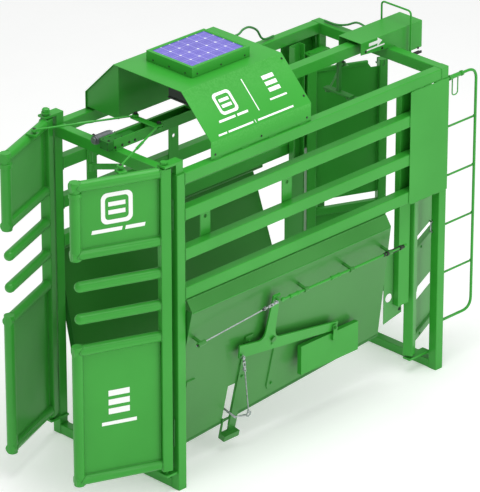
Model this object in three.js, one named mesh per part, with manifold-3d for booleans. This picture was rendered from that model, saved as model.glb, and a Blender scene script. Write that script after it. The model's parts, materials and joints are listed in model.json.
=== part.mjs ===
// Cattle squeeze chute: a welded tube frame with split head gate, split tail gate, two squeeze
// sides and a solar powered drive on top of each gate.
// Millimetres. X points to the side with the crank, Y to the tail, Z up.
// The origin is the middle of the front sill's underside.
import * as THREE from "three";
import { mergeVertices } from "three/addons/utils/BufferGeometryUtils.js";
import Module from "manifold-3d";

const wasm = await Module();
wasm.setup();

// Driving dimensions, grouped by the part of the chute they set.
const gap = 0.5; // between fixed pieces that touch
const running = 0.4; // radial clearance of a pin in its hole

// frame
const frameWidth = 980; // over the posts
const frameLength = 2058; // over the front and rear posts
const frameHeight = 1830;
const post = 57; // square tube of the two portals
const tubeCorner = 5; // corner radius of square tube
const frontSill = 57; // height of the front sill
const rearSill = 50;
const beamHeight = 65; // top beams and top rails
const railHeight = 68;
const upperRailZ = 1559; // undersides of the side rails
const middleRailZ = 1331;
const lowerRailZ = 1108;
const strapWidth = 72;
const strapThickness = 6;
const strapHole = 11; // radius
const strapPlaces = [230, 836];
const rearPlateLength = 303;
const rearPlateBottom = 1100;
const sheet = 4; // thickness of flat sheet pieces
const stileWidth = 85;
const stileDepth = 40;
const stileWall = 5;
const stileBottom = 460;
const stileSetIn = 191; // from the rear portal to the stile's rear edge
const guideBottom = 360;
const guideTop = 800;
const farGuideTop = 1095;
const guideLength = 145;
const guideSetIn = 349; // from the rear portal to the guide plate's front edge

// head gate
const headHingeIn = 45; // hinge axis, in from the frame's side
const headHingeForward = 78.5; // and forward of the front portal
const headLeafLength = 520;
const headLeafAngle = 22; // degrees from straight ahead, at rest
const leafTube = 29; // radius
const leafSheet = 3;
const leafBottom = 134;
const leafTop = 1880;
const leafPin = 12; // radius of the hinge pins
const upperPanelZ = [1445, 1885];
const lowerPanelZ = [141, 954];
const fingerZ = [1290, 1106];
const headLugPlace = 224; // along the leaf
const headLugOffset = 39; // towards the middle of the chute
const lugThickness = 8;

// tail gate
const tailHingeIn = 1.65 * post + 5.95; // clears the rails with the turned square tube
const tailHingeForward = 141.5; // forward of the rear portal
const tailLeafLength = 433;
const tailLeafAngle = 23.7; // degrees from straight back, at rest
const tailHingeTop = 1675;
const tailHingeBottom = 110;
const tailStile = 50;
const tailLeafZ = [165, 1600];
const tailUpperSheetZ = 790;
const tailRailZ = 700;
const tailRail = 42;
const tailLugPlace = 180;
const tailLugOffset = 30;

// drives on top
const spineWidth = 64;
const spineHeight = 62;
const spineWall = 4;
const spineFront = -40;
const spineOpenEnd = 528; // the spine has no top in front of this
const actuatorTube = 20; // radius
const driveRod = 10; // radius
const headCrossheadY = 231;
const headCrossheadHalf = 88;
const tailCrossheadForward = 321; // forward of the rear portal
const tailCrossheadHalf = 80;
const tieRod = 8; // radius
const tieRodEye = 18;

// hood
const hoodFront = 232;
const hoodLength = 739;
const hoodLip = 102; // upright part that stands on the top rail
const hoodRise = 322; // over the top rails
const hoodSetIn = 15; // from the frame's side
const hoodTopHalf = 255;
const hoodSheet = 4;
const bayHalf = 225; // side wall of the closed bay under the hood
const bayLength = 650;
const baySetIn = 8; // from the hood's front edge
const trayLength = 425;
const trayWidth = 344;
const trayHeight = 58;
const trayY = 605; // middle of the tray
const trayWall = 14;
const panelRecess = 6;

// tail housing
const housingWidth = 170;
const housingHeight = 88; // above the frame
const housingFront = 239; // forward of the rear portal
const housingBack = 249; // behind it
const housingDrop = 70; // tail part reaches this far below the frame's top
const hoopWidth = 220;
const hoopTop = 180; // above the frame
const hoopRod = 5.5;
const hoopBack = 130; // behind the rear portal

// squeeze sides
const sideAxisIn = 28; // hinge axis, in from the frame's side
const sideAxisDrop = 17; // and below the lower rail
const sideAxisTube = 13; // radius
const ledgeOut = 40; // the ledge stands this far out from the frame
const ledgeDrop = 66; // below the lower rail
const sideSlope = 12.75; // degrees from upright
const sideSheet = 4;
const sideFront = 36;
const sideRear = 1545;
const sideRearLow = 1632;
const sideDepthFront = 930; // down the slope
const sideDepthRear = 770;
const sideFlange = 45;

// crank on the near squeeze side: places are along Y and down the slope
const crankPivot = [682, 392];
const crankTop = [648, 118];
const crankLeft = [437, 388];
const crankRight = [1180, 505];
const crankArm = 84; // width of the long arm at its left end
const crankArmRight = 56;
const crankNeck = 50;
const crankStand = 30; // off the side's face
const crankPlate = 10;
const crankPin = 10; // radius
const cableRadius = 3.5;
const cableFront = 44;
const pushRodEnd = 1630;
const weightSize = [30, 445, 172];

// Shapes used for every piece.
const rad = THREE.MathUtils.degToRad;
const near = 1;
const far = -1;
const halfWidth = frameWidth / 2;
const postX = halfWidth - post / 2;
const rearY = frameLength - post;
const headHingeX = halfWidth - headHingeIn;
const tailHingeX = halfWidth - tailHingeIn;
const tailHingeY = rearY - tailHingeForward;

// A closed three.js geometry as a solid that can be joined and cut.
function solid(geometry) {
  const bare = geometry.clone();
  bare.deleteAttribute("normal");
  bare.deleteAttribute("uv");
  const merged = mergeVertices(bare, 1e-3);
  return new wasm.Manifold(
    new wasm.Mesh({
      numProp: 3,
      vertProperties: merged.attributes.position.array,
      triVerts: new Uint32Array(merged.index.array),
    }),
  );
}

// A solid as a geometry with flat faces.
function geometryOf(body) {
  const mesh = body.getMesh();
  const positions = new Float32Array(mesh.numVert * 3);
  for (let i = 0; i < mesh.numVert; i += 1) {
    const from = i * mesh.numProp;
    positions.set(mesh.vertProperties.subarray(from, from + 3), i * 3);
  }
  const indexed = new THREE.BufferGeometry();
  indexed.setAttribute("position", new THREE.BufferAttribute(positions, 3));
  indexed.setIndex(new THREE.BufferAttribute(mesh.triVerts, 1));
  const flat = indexed.toNonIndexed();
  flat.computeVertexNormals();
  return flat;
}

// All the solids of a list as one.
function join(pieces) {
  return pieces.reduce((whole, piece) => whole.add(piece));
}

// A box between two values on each axis, in either order.
function block(x, y, z) {
  const size = [x, y, z].map(([a, b]) => Math.abs(b - a));
  const centre = [x, y, z].map(([a, b]) => (a + b) / 2);
  return solid(new THREE.BoxGeometry(...size).translate(...centre));
}

// A rectangle with round corners, about the origin.
function roundedRectangle(width, height, radius) {
  const [x, y, r] = [width / 2, height / 2, radius];
  const shape = new THREE.Shape();
  shape.moveTo(x - r, -y);
  shape.absarc(x - r, -y + r, r, -Math.PI / 2, 0);
  shape.absarc(x - r, y - r, r, 0, Math.PI / 2);
  shape.absarc(-x + r, y - r, r, Math.PI / 2, Math.PI);
  shape.absarc(-x + r, -y + r, r, Math.PI, 1.5 * Math.PI);
  shape.closePath();
  return shape;
}

// A straight section from a to b. The section's height runs along up.
function extrudeBetween(shape, a, b, up) {
  const start = new THREE.Vector3(...a);
  const along = new THREE.Vector3(...b).sub(start);
  const length = along.length();
  along.normalize();
  const across = new THREE.Vector3(...up).cross(along).normalize();
  const height = along.clone().cross(across);
  const matrix = new THREE.Matrix4().makeBasis(across, height, along);
  matrix.setPosition(start);
  const geometry = new THREE.ExtrudeGeometry(shape, {
    depth: length,
    bevelEnabled: false,
    curveSegments: 2,
  });
  return solid(geometry.applyMatrix4(matrix));
}

// Square or rectangular tube from a to b.
function tube(a, b, width, height, up = [0, 0, 1]) {
  return extrudeBetween(roundedRectangle(width, height, tubeCorner), a, b, up);
}

// Round bar from a to b.
function bar(a, b, radius, sides = 16) {
  const start = new THREE.Vector3(...a);
  const end = new THREE.Vector3(...b);
  const along = end.clone().sub(start);
  const turn = new THREE.Quaternion().setFromUnitVectors(
    new THREE.Vector3(0, 1, 0),
    along.clone().normalize(),
  );
  const geometry = new THREE.CylinderGeometry(radius, radius, along.length(), sides);
  geometry.applyQuaternion(turn);
  geometry.translate(...start.add(end).multiplyScalar(0.5).toArray());
  return solid(geometry);
}

// Round bar along +X from a to b with a dome at b.
function fingerBar(a, b, radius, z) {
  const profile = [new THREE.Vector2(0, a), new THREE.Vector2(radius, a)];
  const steps = 5;
  for (let i = 0; i <= steps; i += 1) {
    const angle = (i / steps) * (Math.PI / 2);
    const across = i === steps ? 0 : radius * Math.cos(angle);
    profile.push(new THREE.Vector2(across, b - radius + radius * Math.sin(angle)));
  }
  const geometry = new THREE.LatheGeometry(profile, 16);
  geometry.rotateZ(-Math.PI / 2);
  geometry.translate(0, 0, z);
  return solid(geometry);
}

// A path given by its points, used as they are.
class PointPath extends THREE.Curve {
  constructor(points) {
    super();
    this.points = points;
  }

  getPoint(t, target = new THREE.Vector3()) {
    const place = t * (this.points.length - 1);
    const i = Math.min(Math.floor(place), this.points.length - 2);
    return target.lerpVectors(this.points[i], this.points[i + 1], place - i);
  }

  getUtoTmapping(u) {
    return u;
  }
}

// A round rod that follows corner points with rounded bends.
function bentRod(corners, bend, radius, sides = 8) {
  const points = corners.map((corner) => new THREE.Vector3(...corner));
  const path = [points[0]];
  const steps = 4;
  for (let i = 1; i < points.length - 1; i += 1) {
    const before = points[i - 1].clone().sub(points[i]).normalize();
    const after = points[i + 1].clone().sub(points[i]).normalize();
    const start = points[i].clone().addScaledVector(before, bend);
    const end = points[i].clone().addScaledVector(after, bend);
    const curve = new THREE.QuadraticBezierCurve3(start, points[i], end);
    path.push(...curve.getPoints(steps));
  }
  path.push(points[points.length - 1]);
  return sweep(path, radius, sides);
}

// A round section swept along points.
function sweep(path, radius, sides) {
  const circle = new THREE.Shape();
  for (let i = 0; i < sides; i += 1) {
    const angle = ((i + 0.5) / sides) * 2 * Math.PI;
    const x = radius * Math.cos(angle);
    const y = radius * Math.sin(angle);
    if (i === 0) circle.moveTo(x, y);
    else circle.lineTo(x, y);
  }
  circle.closePath();
  const geometry = new THREE.ExtrudeGeometry(circle, {
    steps: path.length - 1,
    bevelEnabled: false,
    extrudePath: new PointPath(path),
  });
  return solid(geometry);
}

// A flat outline of points, with round or polygonal holes.
function outline(points, holes = []) {
  const shape = new THREE.Shape(points.map(([x, y]) => new THREE.Vector2(x, y)));
  for (const hole of holes) {
    if (Array.isArray(hole)) {
      shape.holes.push(new THREE.Path(hole.map(([x, y]) => new THREE.Vector2(x, y))));
    } else {
      const round = new THREE.Path();
      round.absarc(hole.x, hole.y, hole.r, 0, 2 * Math.PI, true);
      shape.holes.push(round);
    }
  }
  return shape;
}

// A plate of an outline, from depth a to depth b along the normal of the given frame.
function plate(shape, a, b, xAxis, yAxis, origin = [0, 0, 0], curveSegments = 8) {
  const x = new THREE.Vector3(...xAxis);
  const y = new THREE.Vector3(...yAxis);
  const z = x.clone().cross(y);
  const geometry = new THREE.ExtrudeGeometry(shape, {
    depth: b - a,
    bevelEnabled: false,
    curveSegments,
  });
  geometry.translate(0, 0, a);
  const matrix = new THREE.Matrix4().makeBasis(x, y, z);
  matrix.setPosition(...origin);
  return solid(geometry.applyMatrix4(matrix));
}

const alongX = [1, 0, 0];
const alongY = [0, 1, 0];
const alongZ = [0, 0, 1];
const againstX = [-1, 0, 0];

// Looks of the pieces.
const paint = { color: 0x45ad42, roughness: 0.45, metalness: 0.1 };
const darkPaint = { color: 0x2f7f33, roughness: 0.5, metalness: 0.1 };
const zinc = { color: 0x9da1a3, roughness: 0.35, metalness: 0.9 };
const darkRubber = { color: 0x2d6b35, roughness: 0.7, metalness: 0 };
const cells = { color: 0x4a3fae, roughness: 0.15, metalness: 0.1 };
const motorGrey = { color: 0x7e8286, roughness: 0.4, metalness: 0.6 };

const chute = new THREE.Group();

// One named piece of the chute.
function addPiece(name, body, look, parent = chute) {
  const mesh = new THREE.Mesh(geometryOf(body), new THREE.MeshStandardMaterial(look));
  mesh.name = name;
  parent.add(mesh);
  return mesh;
}

// The frame: portals, rails, rear plates, stiles and guide plates.
const lugPlate = 12;
const topLugZ = leafTop + 8;
const bottomLugZ = leafBottom - 34;

// Posts, top beam and sill of one portal, about its own plane.
function portalBars(y, sill) {
  const bars = [near, far].map((side) =>
    tube([side * postX, y, 0], [side * postX, y, frameHeight], post, post, alongY),
  );
  const reach = postX + 1;
  const beamZ = frameHeight - beamHeight / 2;
  bars.push(tube([-reach, y, beamZ], [reach, y, beamZ], post, beamHeight));
  bars.push(tube([-reach, y, sill / 2], [reach, y, sill / 2], post, sill));
  return join(bars);
}

// A hinge lug: a plate with a hole, from the pin to the post.
function lug(points, hole, z, thickness) {
  return plate(outline(points, [hole]), z, z + thickness, alongX, alongY);
}

function frontPortal() {
  const pieces = [portalBars(0, frontSill)];
  const hingeY = -headHingeForward;
  for (const side of [near, far]) {
    const x = side * headHingeX;
    const inner = side * (headHingeX - 24);
    const outer = side * (headHingeX + 34);
    const points = [
      [inner, hingeY - 26],
      [outer, hingeY - 26],
      [outer, post / 2 - 4],
      [inner, post / 2 - 4],
    ];
    const ordered = side === near ? points : points.reverse();
    const hole = { x, y: hingeY, r: leafPin + running };
    pieces.push(lug(ordered, hole, bottomLugZ, lugPlate));
    pieces.push(lug(ordered, hole, topLugZ, lugPlate));
    pieces.push(
      block([inner, outer], [-post / 2 + 4, post / 2 - 4], [frameHeight - 6, topLugZ + 4]),
    );
  }
  return join(pieces);
}

function rearPortal() {
  const pieces = [portalBars(rearY, rearSill)];
  for (const side of [near, far]) {
    const x = side * tailHingeX;
    const inner = side * (tailHingeX - 20);
    const outer = side * (tailHingeX + 32);
    const weld = side * (postX + 8);
    const points = [
      [inner, tailHingeY - 28],
      [outer, tailHingeY - 28],
      [outer, rearY - post / 2 + 2],
      [weld, rearY - post / 2 + 2],
      [weld, rearY - post / 2 + 22],
      [inner, rearY - post / 2 + 22],
    ];
    const ordered = side === near ? points : points.reverse();
    const hole = { x, y: tailHingeY, r: leafPin + running };
    pieces.push(lug(ordered, hole, tailHingeBottom - 26, lugPlate));
    pieces.push(lug(ordered, hole, tailHingeTop + 6, lugPlate));
  }
  return join(pieces);
}

addPiece("front_portal", frontPortal(), paint);
addPiece("rear_portal", rearPortal(), paint);

const railStart = post / 2 + gap;
const railEnd = rearY - post / 2 - gap;

function rail(side, underside, height) {
  const z = underside + height / 2;
  return tube([side * postX, railStart, z], [side * postX, railEnd, z], post, height);
}

// The middle rail carries two upright straps that reach the upper rail.
function strappedRail(side) {
  const pieces = [rail(side, middleRailZ, railHeight)];
  const face = side * (halfWidth - post - gap);
  const back = face - side * strapThickness;
  const top = upperRailZ + railHeight - 6;
  const half = strapWidth / 2;
  for (const y of strapPlaces) {
    const points = [
      [-half, middleRailZ + 4],
      [half, middleRailZ + 4],
      [half, top],
      [-half, top],
    ];
    const hole = { x: 0, y: upperRailZ - 55, r: strapHole };
    const strap = plate(outline(points, [hole]), 0, strapThickness, alongY, alongZ, [
      Math.min(face, back),
      y,
      0,
    ]);
    const weld = block(
      [back + side * 2, face + side * 8],
      [y - half + 8, y + half - 8],
      [middleRailZ + 10, middleRailZ + railHeight - 10],
    );
    pieces.push(strap, weld);
  }
  return join(pieces);
}

const plateFront = rearY + post / 2 - rearPlateLength;
const plateBack = rearY + post / 2;

// C section that hangs inside the rails, with its web outwards.
function stile(side) {
  const web = side * (halfWidth - post - 8);
  const lip = web - side * stileDepth;
  const back = rearY - stileSetIn;
  const front = back - stileWidth;
  const z = [stileBottom, frameHeight - beamHeight - gap];
  return join([
    block([web, web - side * stileWall], [front, back], z),
    block([web, lip], [front, front + stileWall], z),
    block([web, lip], [back - stileWall, back], z),
  ]);
}

// Upright liner sheet behind the squeeze side, with a round hand hole.
function guidePlate(side) {
  const x = side * (halfWidth - post - 8 - stileDepth - gap);
  const front = rearY - guideSetIn;
  const top = side === near ? guideTop : farGuideTop;
  const points = [
    [front, guideBottom],
    [front + guideLength, guideBottom + 30],
    [front + guideLength, top],
    [front, top],
  ];
  const hole = { x: front + 40, y: guideBottom + 150, r: 26 };
  const back = x - side * sheet;
  return plate(outline(points, [hole]), 0, sheet, alongY, alongZ, [Math.min(x, back), 0, 0]);
}

for (const side of [near, far]) {
  const label = side === near ? "near" : "far";
  addPiece(`${label}_top_rail`, rail(side, frameHeight - beamHeight, beamHeight), paint);
  addPiece(`${label}_upper_rail`, rail(side, upperRailZ, railHeight), paint);
  addPiece(`${label}_middle_rail`, strappedRail(side), paint);
  addPiece(`${label}_lower_rail`, rail(side, lowerRailZ, railHeight), paint);
  addPiece(
    `${label}_rear_plate`,
    block(
      [side * (halfWidth + gap), side * (halfWidth + gap + sheet)],
      [plateFront, plateBack],
      [rearPlateBottom, frameHeight - beamHeight],
    ),
    paint,
  );
  addPiece(`${label}_stile`, stile(side), paint);
  addPiece(`${label}_guide_plate`, guidePlate(side), darkPaint);
}

// Spine with the two actuators.
const spineBottom = frameHeight + gap;
const spineTop = spineBottom + spineHeight;
const driveZ = spineBottom + spineHeight / 2;
const spineBack = rearY + post / 2;
const tailCrossheadY = rearY - tailCrossheadForward;
const tailNeckReach = [150, 130]; // slot ahead of and behind the tail crosshead at rest

function spine() {
  const half = spineWidth / 2;
  const outer = block([-half, half], [spineFront, spineBack], [spineBottom, spineTop]);
  const inner = half - spineWall;
  const bore = block(
    [-inner, inner],
    [spineFront - 1, spineBack + 1],
    [spineBottom + spineWall, spineTop - spineWall],
  );
  const mouth = block([-inner, inner], [spineFront - 1, spineOpenEnd], [driveZ, spineTop + 1]);
  const slot = block(
    [-14, 14],
    [tailCrossheadY - tailNeckReach[0], tailCrossheadY + tailNeckReach[1]],
    [spineBottom - 1, driveZ],
  );
  return outer.subtract(bore).subtract(mouth).subtract(slot);
}

const headTube = [spineFront - 2, 130]; // actuator tube along Y
const headRodEnd = 40;

// Motor, gear case and outer tube of the head gate's actuator.
function headActuator() {
  const gearCase = tube([-118, -60, driveZ], [30, -60, driveZ], 36, 54);
  const motor = bar([-90, -44, driveZ], [-90, 62, driveZ], 25, 24);
  const cap = bar([-90, 60, driveZ], [-90, 72, driveZ], 19, 24);
  const outerTube = bar([0, -44, driveZ], [0, headTube[1], driveZ], actuatorTube, 20);
  const bore = bar([0, headTube[0] + 1, driveZ], [0, headTube[1] + 1, driveZ], driveRod + 2, 16);
  return join([gearCase, motor, cap, outerTube]).subtract(bore);
}

const tieBoss = 2; // rod eyes start this far above the plates
const headCrossTop = spineTop + 1.5 + 10;

// Crossbar, neck and rod that the head actuator pushes along the spine.
function headCrosshead() {
  const y = headCrossheadY;
  const bottom = spineTop + 1.5;
  const reach = headCrossheadHalf + 20;
  const crossbar = tube([-reach, y, bottom + 5], [reach, y, bottom + 5], 42, 10);
  const neck = block([-9, 9], [y - 10, y + 10], [driveZ - 4, bottom + 4]);
  const rod = bar([0, headRodEnd, driveZ], [0, y + 10, driveZ], driveRod, 16);
  const pins = [near, far].map((side) =>
    bar(
      [side * headCrossheadHalf, y, bottom + 6],
      [side * headCrossheadHalf, y, headCrossTop + tieBoss + 18],
      6,
      12,
    ),
  );
  return join([crossbar, neck, rod, ...pins]);
}

const tailTubeFront = tailCrossheadY + 135;
const tailRodEnd = tailCrossheadY + 285;
const tailBarZ = tailLeafZ[1] + 28;

function tailActuator() {
  const back = rearY + 185;
  const outerTube = bar([0, tailTubeFront, driveZ], [0, back - 20, driveZ], actuatorTube, 20);
  const y = rearY + 118;
  const gearCase = block([-42, 42], [y - 50, y + 50], [driveZ - 70, driveZ + 26]);
  const bore = bar([0, tailTubeFront - 1, driveZ], [0, rearY + 100, driveZ], driveRod + 2, 16);
  const motor = bar([0, y + 46, driveZ - 42], [0, y + 118, driveZ - 42], 24, 24);
  return join([outerTube, gearCase, motor]).subtract(bore);
}

function tailCrosshead() {
  const y = tailCrossheadY;
  const reach = tailCrossheadHalf + 20;
  const crossbar = tube([-reach, y, tailBarZ + 6], [reach, y, tailBarZ + 6], 42, 12);
  const neck = block([-10, 10], [y - 10, y + 10], [tailBarZ + 4, driveZ + 4]);
  const rod = bar([0, y - 10, driveZ], [0, tailRodEnd, driveZ], driveRod, 16);
  const pins = [near, far].map((side) =>
    bar(
      [side * tailCrossheadHalf, y, tailBarZ + 6],
      [side * tailCrossheadHalf, y, tailBarZ - tieBoss - 18],
      6,
      12,
    ),
  );
  return join([crossbar, neck, rod, ...pins]);
}

addPiece("drive_spine", spine(), paint);
addPiece("head_actuator", headActuator(), motorGrey);
addPiece("head_crosshead", headCrosshead(), paint);
addPiece("tail_actuator", tailActuator(), motorGrey);
addPiece("tail_crosshead", tailCrosshead(), paint);

// Tie rods between each crosshead and its two leaves.
// A rod with an eye at each end; the first eye has a pin hole, the second stands on a boss.
function tieRodBody(start, end, z, bossTo) {
  const thickness = 12;
  const holeRadius = 6 + running;
  const a = new THREE.Vector2(...start);
  const b = new THREE.Vector2(...end);
  const along = b.clone().sub(a).normalize();
  const p = a.clone().addScaledVector(along, tieRodEye - 4);
  const q = b.clone().addScaledVector(along, -(tieRodEye - 4));
  const middle = a.clone().add(b).multiplyScalar(0.5);
  const nutFrom = middle.clone().addScaledVector(along, -45);
  const nutTo = middle.clone().addScaledVector(along, 45);
  const pieces = [
    bar([a.x, a.y, z - thickness / 2], [a.x, a.y, z + thickness / 2], tieRodEye, 20),
    bar([b.x, b.y, z - thickness / 2], [b.x, b.y, z + thickness / 2], tieRodEye, 20),
    bar([p.x, p.y, z], [q.x, q.y, z], tieRod - 2.5, 10),
    bar([nutFrom.x, nutFrom.y, z], [nutTo.x, nutTo.y, z], tieRod, 6),
    bar([b.x, b.y, bossTo], [b.x, b.y, z], 10, 12),
  ];
  const hole = bar([a.x, a.y, z - thickness], [a.x, a.y, z + thickness], holeRadius, 16);
  return join(pieces).subtract(hole);
}

// A point on a leaf, given along it and towards the middle, in the chute's own frame.
function leafPoint(hinge, direction, side, along, inward) {
  const turned = [direction[1], -direction[0]];
  const sign = direction[1] < 0 ? side : -side;
  return [
    hinge[0] + direction[0] * along + sign * turned[0] * inward,
    hinge[1] + direction[1] * along + sign * turned[1] * inward,
  ];
}

const headDirection = (side) => [
  -side * Math.sin(rad(headLeafAngle)),
  -Math.cos(rad(headLeafAngle)),
];
const tailDirection = (side) => [
  -side * Math.sin(rad(tailLeafAngle)),
  Math.cos(rad(tailLeafAngle)),
];

for (const side of [near, far]) {
  const label = side === near ? "near" : "far";
  const headPin = leafPoint(
    [side * headHingeX, -headHingeForward],
    headDirection(side),
    side,
    headLugPlace,
    headLugOffset,
  );
  const headZ = headCrossTop + tieBoss + 6;
  const headBoss = upperPanelZ[1] + lugThickness + 2;
  addPiece(
    `${label}_head_tie_rod`,
    tieRodBody([side * headCrossheadHalf, headCrossheadY], headPin, headZ, headBoss),
    paint,
  );
  const tailPin = leafPoint(
    [side * tailHingeX, tailHingeY],
    tailDirection(side),
    side,
    tailLugPlace,
    tailLugOffset,
  );
  const tailZ = tailBarZ - tieBoss - 6;
  const tailBoss = tailLeafZ[1] + lugThickness + 2;
  addPiece(
    `${label}_tail_tie_rod`,
    tieRodBody([side * tailCrossheadHalf, tailCrossheadY], tailPin, tailZ, tailBoss),
    paint,
  );
}

// Head gate leaves.
// A leaf is drawn with its hinge axis at the origin and its length along +X.
function hingeTube(bottom, top) {
  const body = tube([0, 0, bottom], [0, 0, top], post, post, alongY);
  const lower = bar([0, 0, bottom + 2], [0, 0, bottom - 40], leafPin, 16);
  const upper = bar([0, 0, top - 2], [0, 0, top + 8 + lugPlate + 3], leafPin, 16);
  const cap = bar([0, 0, top + 8 + lugPlate + 2], [0, 0, top + 8 + lugPlate + 14], 21, 6);
  return join([body, lower, upper, cap]);
}

function framedPanel(z) {
  const start = post / 2 + gap;
  const end = headLeafLength;
  const freeX = end - leafTube;
  return join([
    bar([start, 0, z[0] + leafTube], [end - 3, 0, z[0] + leafTube], leafTube),
    bar([start, 0, z[1] - leafTube], [end - 3, 0, z[1] - leafTube], leafTube),
    bar([freeX, 0, z[0]], [freeX, 0, z[1]], leafTube),
    block(
      [start, freeX],
      [-leafSheet / 2, leafSheet / 2],
      [z[0] + leafTube, z[1] - leafTube],
    ),
  ]);
}

function upperPanel(side) {
  const x = headLeafLength - leafTube;
  const top = upperPanelZ[1];
  const collar = bar([x, 0, top - 84], [x, 0, top - 60], leafTube + 6);
  const inward = -side * (headLugOffset + 22);
  const lugTab = block(
    [headLugPlace - 24, headLugPlace + 24],
    [0, inward],
    [top - 6, top + lugThickness],
  );
  return join([framedPanel(upperPanelZ), collar, lugTab]);
}

function finger(z) {
  return fingerBar(post / 2 + gap, headLeafLength - 18, leafTube, z);
}

for (const side of [near, far]) {
  const label = side === near ? "near" : "far";
  const leaf = new THREE.Group();
  const direction = headDirection(side);
  leaf.position.set(side * headHingeX, -headHingeForward, 0);
  leaf.rotation.z = Math.atan2(direction[1], direction[0]);
  chute.add(leaf);
  addPiece(`${label}_head_hinge_tube`, hingeTube(leafBottom, leafTop), paint, leaf);
  addPiece(`${label}_head_upper_panel`, upperPanel(side), paint, leaf);
  addPiece(`${label}_head_finger_high`, finger(fingerZ[0]), paint, leaf);
  addPiece(`${label}_head_finger_low`, finger(fingerZ[1]), paint, leaf);
  addPiece(`${label}_head_lower_panel`, framedPanel(lowerPanelZ), paint, leaf);
}

// Tail gate leaves.
function tailPanel(side) {
  const start = post / 2 + gap;
  const end = tailLeafLength;
  const [bottom, top] = tailLeafZ;
  const clip = 44;
  const upper = outline([
    [start, tailUpperSheetZ + 60],
    [start + 40, tailUpperSheetZ],
    [end, tailUpperSheetZ],
    [end, top - clip],
    [end - tailStile / 2 - clip, top - clip],
    [end - tailStile / 2 - clip - 30, top],
    [start, top],
  ]);
  const lowTop = tailRailZ + 4;
  const window = [
    [start + 40, 395],
    [end - 90, 395],
    [end - 90, 470],
    [start + 95, 470],
  ];
  const lower = outline(
    [
      [start, bottom],
      [end, bottom],
      [end, lowTop],
      [start, lowTop],
    ],
    [window],
  );
  const half = leafSheet / 2;
  const railZ = tailRailZ + tailRail / 2;
  const footZ = bottom + tailRail / 2;
  const lugFrom = tailLugPlace - 30;
  const lugTo = tailLugPlace + 30;
  return join([
    plate(upper, -half, half, alongX, alongZ),
    plate(lower, -half, half, alongX, alongZ),
    tube([end, 0, bottom], [end, 0, top], tailStile, tailStile, alongY),
    tube([start, 0, railZ], [end, 0, railZ], 36, tailRail),
    tube([start, 0, footZ], [end, 0, footZ], 36, tailRail),
    tube([start, 0, top - 12], [end - 90, 0, top - 12], 20, 24),
    block([lugFrom, lugTo], [0, side * (tailLugOffset + 22)], [top - 4, top + lugThickness]),
  ]);
}

for (const side of [near, far]) {
  const label = side === near ? "near" : "far";
  const leaf = new THREE.Group();
  const direction = tailDirection(side);
  leaf.position.set(side * tailHingeX, tailHingeY, 0);
  leaf.rotation.z = Math.atan2(direction[1], direction[0]);
  chute.add(leaf);
  const tubeBody = tube(
    [0, 0, tailHingeBottom],
    [0, 0, tailHingeTop],
    post,
    post,
    alongY,
  );
  const pins = [
    bar([0, 0, tailHingeBottom + 2], [0, 0, tailHingeBottom - 30], leafPin, 16),
    bar([0, 0, tailHingeTop - 2], [0, 0, tailHingeTop + 6 + lugPlate + 6], leafPin, 16),
  ];
  addPiece(`${label}_tail_hinge_tube`, join([tubeBody, ...pins]), paint, leaf);
  addPiece(`${label}_tail_panel`, tailPanel(side), paint, leaf);
}

// Hood with its bulkhead, tray and solar panel.
const hoodBottom = frameHeight + gap;
const hoodHalf = halfWidth - hoodSetIn;
const hoodTop = frameHeight + hoodRise;
const hoodBend = frameHeight + hoodLip;

// The hood's section, moved in by a distance square to each face.
function hoodSection(inset) {
  const slope = Math.atan2(hoodTop - hoodBend, hoodHalf - hoodTopHalf);
  const side = hoodHalf - inset;
  const bendZ = hoodBend - inset * Math.tan((Math.PI / 2 - slope) / 2);
  const topX = hoodTopHalf - inset * Math.tan(slope / 2);
  const topZ = hoodTop - inset;
  return { side, bendZ, topX, topZ };
}

function hood() {
  const outer = hoodSection(0);
  const inner = hoodSection(hoodSheet);
  const points = [
    [outer.side, hoodBottom],
    [outer.side, outer.bendZ],
    [outer.topX, outer.topZ],
    [-outer.topX, outer.topZ],
    [-outer.side, outer.bendZ],
    [-outer.side, hoodBottom],
    [-inner.side, hoodBottom],
    [-inner.side, inner.bendZ],
    [-inner.topX, inner.topZ],
    [inner.topX, inner.topZ],
    [inner.side, inner.bendZ],
    [inner.side, hoodBottom],
  ];
  return plate(outline(points), 0, hoodLength, againstX, alongZ, [0, hoodFront, 0]);
}

// Closed bay under the hood's far slope: a front and a rear wall with a side wall between them.
function hoodBay() {
  const inner = hoodSection(hoodSheet + gap);
  const bottom = hoodBottom + 14;
  const front = hoodFront + baySetIn;
  const back = front + bayLength;
  const points = [
    [bayHalf, bottom],
    [inner.side, bottom],
    [inner.side, inner.bendZ],
    [inner.topX, inner.topZ],
    [bayHalf, inner.topZ],
  ];
  const wall = (y) => plate(outline(points), 0, sheet, againstX, alongZ, [0, y, 0]);
  return join([
    wall(front),
    wall(back - sheet),
    block(
      [-bayHalf - sheet - 1, -bayHalf - 1],
      [front + sheet / 2, back - sheet / 2],
      [bottom + 1, inner.topZ - 1],
    ),
  ]);
}

addPiece("hood", hood(), paint);
addPiece("hood_bay", hoodBay(), darkPaint);

const trayBottom = hoodTop + gap;

function solarTray() {
  const y = [trayY - trayLength / 2, trayY + trayLength / 2];
  const x = trayWidth / 2;
  const body = block([-x, x], y, [trayBottom, trayBottom + trayHeight]);
  const well = block(
    [-x + trayWall, x - trayWall],
    [y[0] + trayWall, y[1] - trayWall],
    [trayBottom + trayHeight - 22, trayBottom + trayHeight + 1],
  );
  return body.subtract(well);
}

function solarPanel() {
  const x = trayWidth / 2 - trayWall - gap;
  const y = trayLength / 2 - trayWall - gap;
  const top = trayBottom + trayHeight;
  return block([-x, x], [trayY - y, trayY + y], [top - 22 + gap, top - panelRecess + 3]);
}

addPiece("solar_tray", solarTray(), paint);
addPiece("solar_panel", solarPanel(), cells);

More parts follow.
